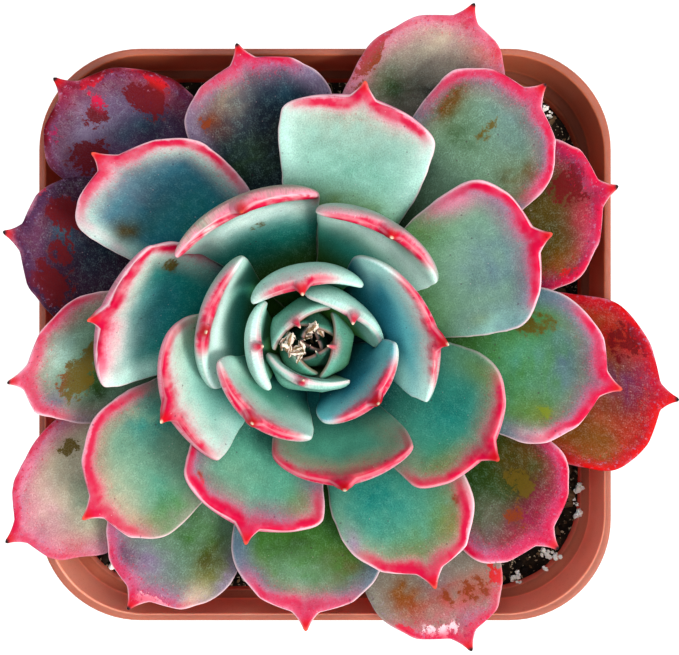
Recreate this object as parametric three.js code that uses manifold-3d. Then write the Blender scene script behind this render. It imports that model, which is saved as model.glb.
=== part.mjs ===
// A rosette succulent in a square plastic pot: pot, potting soil, rooted stem, thirty-four
// fleshy leaves in a golden-angle spiral, and the heart of young leaves at its top.
// Units are millimetres, +Z is up. The origin is the middle of the pot's underside, the front
// is -Y, and angles run from +X towards +Y.

import * as THREE from "three";
import { mergeVertices } from "three/addons/utils/BufferGeometryUtils.js";
import Module from "manifold-3d";

const wasm = await Module();
wasm.setup();

const DEGREE = Math.PI / 180;
const GAP = 0.3; // clearance left between pieces that touch

// Pot: a tapered square tub with a collar under its rim
const POT_HEIGHT = 80;
const RIM_HALF = 45; // half of the outer width at the rim
const RIM_CORNER = 16; // outer corner radius at the rim
const FOOT_HALF = 31.5;
const WALL = 1.1;
const COLLAR_DEPTH = 10.5;
const COLLAR_DRAFT = 1.0; // how much the collar narrows from rim to step
const STEP = 1.3; // inward step under the collar
const BASE_THICKNESS = 1.6;
const CORNER_STEPS = 6;
const DRAIN_WIDTH = 9;
const DRAIN_HEIGHT = 4;
const DRAIN_OFFSET = 14; // of each drain slot from the middle of its side

// Soil
const SOIL_TOP = 69.5;
const SOIL_RELIEF = 0.7; // height of its bumps above and below that

// Plant
const PLANT = new THREE.Vector3(-1.8, -1.1, 0); // where the stem's axis stands in the pot
const LOWEST_LEAF = 73.4; // height of the oldest leaf's base
const HIGHEST_LEAF = 93.6; // height of the youngest separate leaf's base
const ROOT_END = 45;
const FIRST_AZIMUTH = 264; // of the youngest separate leaf, in degrees
const GOLDEN_ANGLE = 137.5;
const HEART_LEAVES = 8;

// Stem: height and radius from root tip to crown
const STEM_PROFILE = [
  [ROOT_END, 1.2],
  [50, 2.6],
  [60, 4.2],
  [68, 5.2],
  [74, 5.9],
  [82, 5.6],
  [88, 4.7],
  [92, 3.8],
  [95, 2.9],
];

// The separate leaves, youngest first, as seen on the plant. Each row holds the turn away from the
// golden-angle rule in degrees, reach of the tip from the stem's axis, height of the tip above the
// rim, width, length of the rounded end from the widest place to the tip, curl of the spine from
// base to tip in degrees, sideways sway of the tip, and skew of the blade
const LEAVES = [
  [-5, 5.6, 24.5, 14.5, 5, 26, 0, 0.1],
  [4, 6.3, 25.5, 15.5, 4.5, 52, -2.3, 0.05],
  [5, 7.2, 26, 14.7, 4, 46, 0, 0],
  [6, 13, 26, 17.3, 5.5, 16, -1.2, 0.15],
  [4, 7, 28, 18.5, 4.5, 58, 0, 0],
  [-3, 14.3, 27, 19, 5.5, 23, 1.5, 0],
  [1, 19.3, 27.5, 22, 8.5, 10, -3.5, -0.2],
  [16, 15, 28.5, 20, 6, 32, 3, 0],
  [4, 22, 24.5, 21, 7.5, 22, -2, 0.25],
  [-2, 18.5, 28, 20.5, 7.5, 54, -2, 0.1],
  [-8, 23.7, 24, 22, 5.6, 17, 7, 0.15],
  [-1, 32, 22, 22.5, 9, 15, -4, 0],
  [-1, 20.8, 27, 23.5, 5, 58, 2, 0],
  [-11, 30.5, 20.5, 23, 7.5, 7, 6, 0.1],
  [0.5, 38.7, 19.5, 23, 9.5, 9, -3.6, 0.1],
  [-7, 32, 21, 24.3, 5.5, 22, 8.5, 0.4],
  [-2, 40.7, 16, 21.5, 12, 3, -4, 0.1],
  [-4, 39.5, 17.5, 23.3, 7.7, 11, 0.9, 0],
  [-4, 43.4, 14.5, 21.5, 11.5, 2, 2, 0.15],
  [3, 46.6, 13.5, 24, 12.5, 2, -6.5, 0],
  [-1, 43.3, 14, 22.5, 9, 2, 5, 0.35],
  [-4, 43.8, 11, 23, 12, 2, 0.5, 0.05],
  [2, 52.5, 12, 23, 12, 2, -2.5, 0.1],
  [-5, 46.5, 10.5, 21, 14.5, 1, 5, 0.15],
  [1, 49, 9, 21.5, 11, 1, -4, 0],
  [-1, 46.8, 9.5, 23, 11, 1, 3, 0],
  [-4, 49.8, 7.8, 21.5, 12.5, 1, 0, 0],
  [15.5, 52.6, 7.5, 21.6, 12, 1, -4.7, 0.2],
  [3, 50.2, 7, 22.5, 13, 0, 3, -0.2],
  [6, 53.4, 6.5, 21.5, 13, 0, -0.5, 0.1],
  [-1, 57.4, 7, 24, 15.8, 4, -3.2, -0.1],
  [4, 56.4, 5.8, 23.5, 17.5, 0, 2.5, 0.05],
  [8, 56.9, 6.2, 26.5, 13.5, 0, -1.5, -0.15],
  [9, 56.8, 5.4, 24, 13, 0, 4, 0.1],
];

// What changes steadily from the youngest leaf, at age 0, to the oldest, at age 1
const THICKNESS_BY_AGE = [
  [0, 2.3],
  [0.25, 3.0],
  [0.6, 3.2],
  [1, 2.8],
];
const CUP_BY_AGE = [
  [0, 62],
  [0.15, 48],
  [0.35, 30],
  [0.6, 16],
  [1, 8],
]; // how far the margins turn up, in degrees
const MUCRO = 2.0; // length of the spine at the tip of the leaf

// Where a leaf's cross-sections stand along its spine, crowded towards the shaped end
const BLADE_STATIONS = [0, 0.2, 0.42, 0.64, 0.84, 1];
const APEX_STATIONS = [0.3, 0.52, 0.7, 0.83, 0.93, 1.03];

// Value at x of a line through sorted [x, value] points, held level past both ends.
function along(points, x) {
  if (x <= points[0][0]) return points[0][1];
  for (let i = 1; i < points.length; i += 1) {
    const [x0, y0] = points[i - 1];
    const [x1, y1] = points[i];
    if (x <= x1) return y0 + ((y1 - y0) * (x - x0)) / (x1 - x0);
  }
  return points[points.length - 1][1];
}

// A closed surface through rings of points that run anticlockwise about the way the rings follow.
// The first ring is closed by a fan to its middle, the last one too or by a fan to the given tip.
function loft(rings, tip) {
  const count = rings[0].length;
  const middle = (ring) =>
    ring.reduce((sum, p) => sum.add(p), new THREE.Vector3()).divideScalar(count);
  const points = [...rings.flat(), middle(rings[0]), tip ?? middle(rings.at(-1))];
  const [start, end] = [points.length - 2, points.length - 1];
  const faces = [];
  for (let j = 0; j < count; j += 1) {
    const next = (j + 1) % count;
    faces.push(start, next, j);
    for (let i = 0; i + 1 < rings.length; i += 1) {
      const [low, high] = [i * count, (i + 1) * count];
      faces.push(low + j, low + next, high + next, low + j, high + next, high + j);
    }
    const last = (rings.length - 1) * count;
    faces.push(end, last + j, last + next);
  }
  const geometry = new THREE.BufferGeometry().setFromPoints(points);
  geometry.setIndex(faces);
  return geometry;
}

// A geometry as a solid that can be cut and joined.
function solidOf(geometry) {
  const bare = new THREE.BufferGeometry();
  bare.setAttribute("position", geometry.getAttribute("position"));
  if (geometry.index) bare.setIndex(geometry.index);
  const merged = mergeVertices(bare, 1e-4);
  return new wasm.Manifold(
    new wasm.Mesh({
      numProp: 3,
      vertProperties: new Float32Array(merged.attributes.position.array),
      triVerts: new Uint32Array(merged.index.array),
    }),
  );
}

// A solid's largest body as a named mesh.
function meshOf(name, solid, material) {
  const bodies = solid.decompose();
  const body = bodies.reduce((a, b) => (b.volume() > a.volume() ? b : a));
  const { vertProperties, triVerts } = body.getMesh();
  const geometry = new THREE.BufferGeometry();
  geometry.setAttribute("position", new THREE.BufferAttribute(vertProperties, 3));
  geometry.setIndex(new THREE.BufferAttribute(triVerts, 1));
  geometry.computeVertexNormals();
  const mesh = new THREE.Mesh(geometry, material);
  mesh.name = name;
  return mesh;
}

// A ring of points round a square with rounded corners, level at height z.
function roundedSquare(half, corner, z) {
  const ring = [];
  for (let quarter = 0; quarter < 4; quarter += 1) {
    const middle = (45 + 90 * quarter) * DEGREE;
    const offset = (half - corner) * Math.SQRT2;
    for (let step = 0; step <= CORNER_STEPS; step += 1) {
      const angle = (90 * quarter + (90 * step) / CORNER_STEPS) * DEGREE;
      ring.push(
        new THREE.Vector3(
          offset * Math.cos(middle) + corner * Math.cos(angle),
          offset * Math.sin(middle) + corner * Math.sin(angle),
          z,
        ),
      );
    }
  }
  return ring;
}

// Outer half-width of the tapered body under the collar, at height z.
const STEP_HEIGHT = POT_HEIGHT - COLLAR_DEPTH;
const BODY_TOP_HALF = RIM_HALF - COLLAR_DRAFT - STEP;
const bodyHalf = (z) => FOOT_HALF + ((BODY_TOP_HALF - FOOT_HALF) * z) / STEP_HEIGHT;

// Corner radius that goes with an outer half-width.
const cornerFor = (half) => RIM_CORNER * (half / RIM_HALF);

function potSolid() {
  const outer = [
    [FOOT_HALF - 1.5, 0],
    [FOOT_HALF, 1.5],
    [bodyHalf(STEP_HEIGHT - 1.5), STEP_HEIGHT - 1.5],
    [BODY_TOP_HALF + STEP, STEP_HEIGHT - 0.3],
    [RIM_HALF - 0.5, POT_HEIGHT - 3],
    [RIM_HALF, POT_HEIGHT - 2],
    [RIM_HALF, POT_HEIGHT - 0.5],
    [RIM_HALF - 0.35, POT_HEIGHT],
  ];
  const inner = [
    [RIM_HALF - WALL, POT_HEIGHT],
    [RIM_HALF - COLLAR_DRAFT - WALL, STEP_HEIGHT + 1],
    [BODY_TOP_HALF - WALL, STEP_HEIGHT],
    [bodyHalf(BASE_THICKNESS + 1.5) - WALL, BASE_THICKNESS + 1.5],
    [bodyHalf(BASE_THICKNESS) - WALL - 1.5, BASE_THICKNESS],
  ];
  const rings = [...outer, ...inner].map(([half, z]) => roundedSquare(half, cornerFor(half), z));
  let solid = solidOf(loft(rings));
  for (let side = 0; side < 4; side += 1) {
    for (const offset of [-DRAIN_OFFSET, DRAIN_OFFSET]) {
      const slot = new THREE.BoxGeometry(DRAIN_WIDTH, 12, 2 * DRAIN_HEIGHT);
      slot.translate(offset, -FOOT_HALF, 0);
      slot.rotateZ(side * 90 * DEGREE);
      solid = solid.subtract(solidOf(slot));
    }
  }
  return solid;
}

// Height of the soil's bumpy surface at a place in the pot.
function soilHeight(x, y) {
  const coarse = Math.sin(x * 0.31 + 1.7) * Math.sin(y * 0.27 + 0.4);
  const fine = Math.sin(x * 0.83 + y * 0.61) * Math.cos(y * 0.74 - x * 0.35);
  return SOIL_TOP + SOIL_RELIEF * (0.6 * coarse + 0.4 * fine);
}

function soilSolid() {
  const side = (z, inset) => {
    const half = bodyHalf(z) - WALL - GAP - inset;
    return roundedSquare(half, cornerFor(half), z);
  };
  const floor = BASE_THICKNESS + GAP;
  const rings = [side(floor, 1.5), side(floor + 1.5, 0)];
  for (const share of [1, 0.92, 0.8, 0.66, 0.5, 0.34, 0.16]) {
    const ring = side(SOIL_TOP - 1.5, 0);
    for (const p of ring) {
      p.multiply(new THREE.Vector3(share, share, 1));
      p.z = share === 1 ? SOIL_TOP - 1 : soilHeight(p.x, p.y);
    }
    rings.push(ring);
  }
  return solidOf(loft(rings)).subtract(stemSolid(GAP));
}

// The stem with its root stock, or with grow the space it needs in the soil and between leaf bases.
function stemSolid(grow) {
  const sides = 18;
  const rings = STEM_PROFILE.map(([z, radius], i) => {
    const end = i === 0 ? -grow : i === STEM_PROFILE.length - 1 ? grow : 0;
    const ring = [];
    for (let j = 0; j < sides; j += 1) {
      const angle = (2 * Math.PI * j) / sides;
      ring.push(
        new THREE.Vector3(
          PLANT.x + (radius + grow) * Math.cos(angle),
          PLANT.y + (radius + grow) * Math.sin(angle),
          z + end,
        ),
      );
    }
    return ring;
  });
  return solidOf(loft(rings));
}

// Half-width of a leaf at a share of its length, as a share of its widest: a narrow base, a
// rounded end, and a spine at the tip that flares into it.
function outline(share, apexStart, mucroStart) {
  if (share <= apexStart) {
    const rise = Math.sin((Math.PI / 2) * (share / apexStart));
    return 0.36 + 0.64 * rise ** 1.5;
  }
  const toMucro = Math.min(1, (share - apexStart) / (mucroStart - apexStart));
  const dome = (1 - toMucro ** 2.1) ** 0.62;
  const spine = 0.26 * Math.min(1, (1 - share) / (1 - mucroStart) / 2) ** 1.4;
  return (dome ** 1.6 + spine ** 1.6) ** (1 / 1.6);
}

// Thickness of a leaf at a share of its length, as a share of its thickest.
function fullness(share, apexStart) {
  const body = 0.72 + 0.28 * Math.sin(Math.PI * Math.min(1, share / apexStart / 1.3));
  const taper = Math.max(0, (share - apexStart) / (1 - apexStart));
  return body * (1 - 0.78 * taper ** 1.8);
}

// A leaf as a closed surface. Its spine bends in the upright plane through the plant's axis;
// its cross-sections are rounded, fuller underneath, and cupped upwards round that spine.
function leafGeometry(leaf, grow = 0) {
  const { azimuth, base, tip, curl, sway, skew, cup, apex, sides } = leaf;
  const halfWidth = leaf.width / 2;
  const chord = tip.clone().sub(base);
  const mean = Math.atan2(chord.y, chord.x);
  const handle = (0.36 * chord.length()) / Math.cos(curl * DEGREE * 0.6);
  const towards = (angle) => new THREE.Vector2(Math.cos(angle), Math.sin(angle)).multiplyScalar(handle);
  const spine = new THREE.CubicBezierCurve(
    base,
    base.clone().add(towards(mean - curl * DEGREE)),
    tip.clone().sub(towards(mean + curl * DEGREE)),
    tip,
  );
  const length = spine.getLength();
  const apexStart = 1 - apex / length;
  const mucroStart = 1 - (MUCRO * Math.min(1, halfWidth / 10)) / length;
  const stations = [
    ...BLADE_STATIONS.map((s) => s * apexStart),
    ...APEX_STATIONS.map((s) => apexStart + s * (mucroStart - apexStart)),
  ];
  const out = new THREE.Vector3(Math.cos(azimuth), Math.sin(azimuth), 0);
  const side = new THREE.Vector3(-Math.sin(azimuth), Math.cos(azimuth), 0);
  const up = new THREE.Vector3(0, 0, 1);
  const inSpace = (point, offset) =>
    PLANT.clone().addScaledVector(out, point.x).addScaledVector(up, point.y).addScaledVector(side, offset);

  const rings = stations.map((share) => {
    const centre = inSpace(spine.getPointAt(share), sway * share ** 2);
    const tangent = spine.getTangentAt(share);
    const drift = Math.atan((2 * sway * share) / length);
    const forward = new THREE.Vector3()
      .addScaledVector(out, tangent.x)
      .addScaledVector(up, tangent.y);
    const above = new THREE.Vector3().addScaledVector(out, -tangent.y).addScaledVector(up, tangent.x);
    const across = side.clone().multiplyScalar(Math.cos(drift)).addScaledVector(forward, -Math.sin(drift));
    const reach = outline(share, apexStart, mucroStart) * halfWidth + grow;
    const depth = fullness(share, apexStart) * leaf.thickness;
    const bend = (cup * DEGREE) / halfWidth;
    const ring = [];
    for (let j = 0; j < sides; j += 1) {
      const angle = (2 * Math.PI * j) / sides;
      const [c, s] = [Math.cos(angle), Math.sin(angle)];
      const arc = reach * Math.sign(c) * Math.abs(c) ** 0.8;
      const part = s > 0 ? 0.4 : 0.6; // of the thickness, above or under the spine
      const lift = Math.sign(s) * Math.abs(s) ** 0.8 * (depth * part + grow);
      const turn = bend * arc;
      ring.push(
        centre
          .clone()
          .addScaledVector(forward, skew * arc * share)
          .addScaledVector(across, Math.sin(turn) / bend - Math.sin(turn) * lift)
          .addScaledVector(above, (1 - Math.cos(turn)) / bend + Math.cos(turn) * lift),
      );
    }
    return ring;
  });
  const point = inSpace(tip, sway).addScaledVector(out, grow * Math.cos(mean));
  return loft(rings, point);
}

// The separate leaves' shapes, from the table and what age gives them.
function separateLeaf([turn, reach, lift, width, apex, curl, sway, skew], index) {
  const age = index / (LEAVES.length - 1);
  const baseHeight = HIGHEST_LEAF + (LOWEST_LEAF - HIGHEST_LEAF) * age;
  return {
    azimuth: (FIRST_AZIMUTH + GOLDEN_ANGLE * index + turn) * DEGREE,
    base: new THREE.Vector2(along(STEM_PROFILE, baseHeight) - 1, baseHeight),
    tip: new THREE.Vector2(reach, POT_HEIGHT + lift),
    width,
    apex,
    curl,
    sway,
    skew,
    thickness: along(THICKNESS_BY_AGE, age),
    cup: along(CUP_BY_AGE, age),
    sides: 10,
  };
}

// The heart's leaves go on with the same spiral, each smaller and set deeper than the last.
function heartLeaf(index) {
  const youth = index / (HEART_LEAVES - 1);
  const baseHeight = HIGHEST_LEAF + 1.6 + 1.4 * youth;
  return {
    azimuth: (FIRST_AZIMUTH - GOLDEN_ANGLE * (index + 1)) * DEGREE,
    base: new THREE.Vector2(0.9 - 0.6 * youth, baseHeight),
    tip: new THREE.Vector2(4.3 - 3.5 * youth, baseHeight + 8.4 - 4.2 * youth),
    width: 10.5 - 6.9 * youth,
    apex: 3.6 - 1.6 * youth,
    curl: 44 - 24 * youth,
    sway: 0,
    skew: 0,
    thickness: 1.9 - 0.6 * youth,
    cup: 62,
    sides: 8,
  };
}

function heartSolid(grow) {
  const core = new THREE.SphereGeometry(1, 10, 8);
  core.scale(2.4 + grow, 2.4 + grow, 1.9 + grow);
  core.translate(PLANT.x, PLANT.y, HIGHEST_LEAF + 3.4);
  let solid = solidOf(core);
  for (let index = 0; index < HEART_LEAVES; index += 1) {
    solid = solid.add(solidOf(leafGeometry(heartLeaf(index), grow)));
  }
  return solid;
}

const potPlastic = new THREE.MeshStandardMaterial({ color: 0xa9583f, roughness: 0.5, metalness: 0 });
const soilMix = new THREE.MeshStandardMaterial({ color: 0x2b211a, roughness: 1, metalness: 0 });
const stemSkin = new THREE.MeshStandardMaterial({ color: 0x8b7a52, roughness: 0.8, metalness: 0 });

// Young leaves are blue-green, old ones flushed with red.
function leafSkin(age) {
  const colour = new THREE.Color(0x7fb5a0).lerp(new THREE.Color(0xa85a6c), age ** 1.5);
  return new THREE.MeshStandardMaterial({ color: colour, roughness: 0.6, metalness: 0 });
}

const plant = new THREE.Group();
plant.add(meshOf("pot", potSolid(), potPlastic));
plant.add(meshOf("soil", soilSolid(), soilMix));
plant.add(meshOf("stem", stemSolid(0), stemSkin));
plant.add(meshOf("heart", heartSolid(0).subtract(stemSolid(GAP)), leafSkin(0)));

// Each leaf gives way to the stem, the heart and the younger leaves that lie on it.
const taken = [stemSolid(GAP), heartSolid(GAP)];
LEAVES.map(separateLeaf).forEach((leaf, index) => {
  let solid = solidOf(leafGeometry(leaf));
  for (const other of taken) solid = solid.subtract(other);
  taken.push(solidOf(leafGeometry(leaf, GAP)));
  const name = "leaf_" + String(index + 1).padStart(2, "0");
  plant.add(meshOf(name, solid, leafSkin(index / (LEAVES.length - 1))));
});

export default plant;
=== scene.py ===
"""The looks of a rosette succulent (Echeveria laurensis) in a square plastic pot.

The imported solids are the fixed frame. Every leaf, the heart, the stem, the soil and the pot are
built again with fine meshes and procedural materials, each in the place of its solid. Sizes are in
millimetres here, as in the solids' source, and meshes are scaled to metres when they are made.
"""

import math

import bpy
import numpy as np
from mathutils import Matrix, Vector
from mathutils.bvhtree import BVHTree


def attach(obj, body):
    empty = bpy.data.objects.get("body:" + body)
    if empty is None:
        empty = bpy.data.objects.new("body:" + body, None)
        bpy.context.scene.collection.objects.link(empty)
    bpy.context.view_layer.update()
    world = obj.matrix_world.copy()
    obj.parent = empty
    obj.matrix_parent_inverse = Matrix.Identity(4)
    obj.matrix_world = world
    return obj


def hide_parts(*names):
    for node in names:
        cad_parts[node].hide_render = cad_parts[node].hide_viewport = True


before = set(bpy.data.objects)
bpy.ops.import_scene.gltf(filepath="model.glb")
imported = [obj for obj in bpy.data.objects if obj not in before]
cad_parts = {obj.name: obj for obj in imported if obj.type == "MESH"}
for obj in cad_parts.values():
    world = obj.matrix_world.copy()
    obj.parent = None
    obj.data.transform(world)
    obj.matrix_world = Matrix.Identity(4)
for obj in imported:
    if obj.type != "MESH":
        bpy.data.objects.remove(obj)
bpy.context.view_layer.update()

MM = 0.001
DEGREE = math.pi / 180

# Pot, as in the solids
POT_HEIGHT = 80.0
RIM_HALF = 45.0
RIM_CORNER = 16.0
FOOT_HALF = 31.5
WALL = 1.1
COLLAR_DEPTH = 10.5
COLLAR_DRAFT = 1.0
STEP = 1.3
BASE_THICKNESS = 1.6
DRAIN_WIDTH = 9.0
DRAIN_HEIGHT = 4.0
DRAIN_OFFSET = 14.0
DRAIN_REACH = 6.0
STEP_HEIGHT = POT_HEIGHT - COLLAR_DEPTH
BODY_TOP_HALF = RIM_HALF - COLLAR_DRAFT - STEP
GAP = 0.3

# Soil
SOIL_TOP = 69.5
SOIL_RELIEF = 0.7
CLEAR_OF_STEM = 7.5

# Plant
PLANT = np.array([-1.8, -1.1, 0.0])
LOWEST_LEAF = 73.4
HIGHEST_LEAF = 93.6
FIRST_AZIMUTH = 264.0
GOLDEN_ANGLE = 137.5
HEART_LEAVES = 8
MUCRO = 2.0
LEAF_START = 1.35  # from the foot of a leaf's spine to its first ring
FIRST_MIDDLE_LEAF = 11  # counted from 0 at the youngest
FIRST_OLD_LEAF = 22
STEM_PROFILE = [
    (45, 1.2), (50, 2.6), (60, 4.2), (68, 5.2), (74, 5.9), (82, 5.6), (88, 4.7), (92, 3.8), (95, 2.9),
]
THICKNESS_BY_AGE = [(0, 2.3), (0.25, 3.0), (0.6, 3.2), (1, 2.8)]
THINNING_BY_AGE = [(0, 0.35), (0.4, 0.45), (0.6, 0.7), (1, 0.78)]
CUP_BY_AGE = [(0, 36), (0.15, 36), (0.35, 30), (0.6, 16), (1, 8)]

# The separate leaves, youngest first: turn away from the golden-angle rule, reach of the tip, its
# height above the rim, width, length of the rounded end, curl of the spine, sway and skew. Then
# the width of the left and the right half as shares of the even leaf, seen from the stem, and the
# length of their rounded ends. Heights and nearly all curls were set one by one. Most of the other
# numbers are the rounded result of a program that fitted the outline to points read off the
# photograph.
LEAVES = [
    (-14, 5.4, 24.5, 13.4, 5, 26, 0.8, 0.2, 1.1, 0.92, 4.5, 4.7),
    (12.2, 5.6, 25.5, 14.2, 4.5, 56, -3.3, 0.05, 1.0, 1.1, 5.5, 5),
    (5.2, 6.8, 26, 13.6, 4, 52, 0, 0.05, 0.98, 1.03, 4.2, 4.2),
    (3.5, 13.1, 26, 16.5, 5.5, 16, -0.5, 0.1, 1.07, 1.0, 4.6, 5.7),
    (5.8, 6.8, 28, 17.4, 4.5, 62, 0, 0.04, 0.9, 1.1, 3.8, 6.6),
    (-2.7, 14.3, 27, 18.3, 5.5, 23, 1.3, -0.07, 0.97, 1.07, 4.5, 4.6),
    (7.9, 18.8, 27.5, 22, 8.5, 10, -6, -0.24, 1.25, 0.92, 8.4, 4),
    (22, 14.8, 28.5, 20, 6, 46, 1.5, -0.35, 0.92, 1.18, 7, 9.5),
    (0.3, 22, 24.5, 21, 7.5, 22, -0.6, 0.25, 1.1, 0.95, 5.5, 8),
    (-1.6, 18.6, 28, 20.5, 7.5, 60, -2.5, 0.2, 1.09, 1.03, 7.1, 7.1),
    (-8.6, 23.6, 24, 22, 5.6, 17, 7.5, 0.12, 0.99, 1.03, 4.9, 6.4),
    (-1.8, 32.1, 22, 22.5, 9, 15, -3.9, 0, 1.03, 1.0, 9.2, 9.1),
    (-2.7, 20.9, 27, 23.5, 5, 64, 2.5, 0.2, 1.07, 0.94, 4, 4.8),
    (-11.6, 30.5, 20.5, 23, 7.5, 7, 6.5, 0.13, 0.99, 1.04, 7, 7.2),
    (-1.3, 38.8, 19.5, 23, 9.5, 9, -2.3, 0.1, 1.05, 0.98, 9.4, 9.1),
    (-5.6, 32.1, 21, 24.3, 5.5, 22, 7.7, 0.42, 1.0, 1.03, 6.1, 5.2),
    (-0.7, 40.8, 16, 21.5, 12, 3, -4.8, 0.08, 0.97, 1.0, 12.8, 12.7),
    (-5.1, 39.5, 17.5, 23.3, 7.7, 11, 1.4, 0.03, 1.03, 1.03, 6.9, 7.5),
    (-4.9, 43.4, 14.5, 21.5, 11.5, 2, 2.7, 0.16, 0.99, 1.04, 11.1, 11.9),
    (3.3, 46.6, 13.5, 24, 12.5, 2, -7, 0, 0.99, 0.99, 14.1, 12.1),
    (-1.8, 43.3, 14, 22.5, 9, 2, 5.4, 0.33, 1.02, 1.02, 8.6, 10.2),
    (-5.2, 43.8, 11, 23, 12, 2, 1.8, 0.05, 1.03, 0.98, 11.8, 12.7),
    (0.4, 52.6, 12, 23, 12, 2, -1.4, 0.1, 1.05, 0.95, 11.8, 11.4),
    (-4.4, 46.6, 10.5, 21, 14.5, 1, 4.5, 0.32, 0.88, 1.07, 15.7, 12.4),
    (-0.8, 49, 9, 21.5, 11, 1, -2.9, 0, 1.08, 0.94, 11.5, 9.2),
    (-1.8, 46.8, 9.5, 23, 11, 1, 3.8, 0, 1.01, 1.01, 10.5, 11.9),
    (-3.7, 49.9, 7.8, 21.5, 12.5, 1, 0, 0, 1.0, 1.01, 12.7, 12.6),
    (15.4, 52.4, 7.5, 21.6, 12, 1, -4.5, 0.23, 1.02, 1.0, 11.7, 11.3),
    (4, 50.5, 7, 22.5, 13, 0, 2.2, -0.22, 0.97, 1.05, 13.6, 13.2),
    (6.3, 53.5, 6.5, 21.5, 13, 0, -0.6, 0.12, 0.98, 1.01, 14, 13.1),
    (-2.1, 57.6, 7, 24, 15.8, 4, -2.4, -0.14, 1.01, 1.0, 15.8, 17),
    (3.9, 56.6, 5.8, 23.5, 17.5, 0, 2.7, 0.13, 0.95, 0.96, 18.4, 18.3),
    (8.1, 57.1, 6.2, 26.5, 13.5, 0, -1.1, -0.17, 1.04, 0.99, 13.1, 13.2),
    (7.2, 56.9, 5.4, 24, 13, 0, 5.8, 0.14, 0.95, 1.03, 11.7, 15.1),
]

# Pigments of the leaves, as red, green and blue on a screen
PIGMENTS = {
    "deep_teal": (8, 72, 74),
    "teal": (18, 126, 118),
    "sea": (84, 152, 130),
    "ocean": (40, 112, 130),
    "night": (24, 44, 66),
    "ink": (32, 28, 30),
    "mint": (150, 194, 180),
    "ice": (188, 226, 214),
    "frost": (226, 246, 240),
    "aqua": (104, 180, 184),
    "bottle": (14, 46, 34),
    "fern": (76, 130, 54),
    "moss": (44, 76, 14),
    "sage": (122, 156, 130),
    "slate": (98, 120, 136),
    "stone": (150, 142, 128),
    "lilac": (146, 126, 154),
    "mauve": (100, 62, 102),
    "plum": (66, 20, 54),
    "wine": (96, 0, 8),
    "crimson": (188, 10, 62),
    "magenta": (150, 24, 76),
    "rose": (214, 84, 126),
    "blush": (228, 150, 170),
    "shell": (236, 204, 208),
    "scarlet": (186, 10, 10),
    "coral": (202, 82, 62),
    "olive": (92, 74, 8),
    "lime": (112, 124, 34),
    "rust": (122, 52, 10),
    "gold": (140, 84, 10),
    "cream": (214, 200, 172),
}
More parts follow.
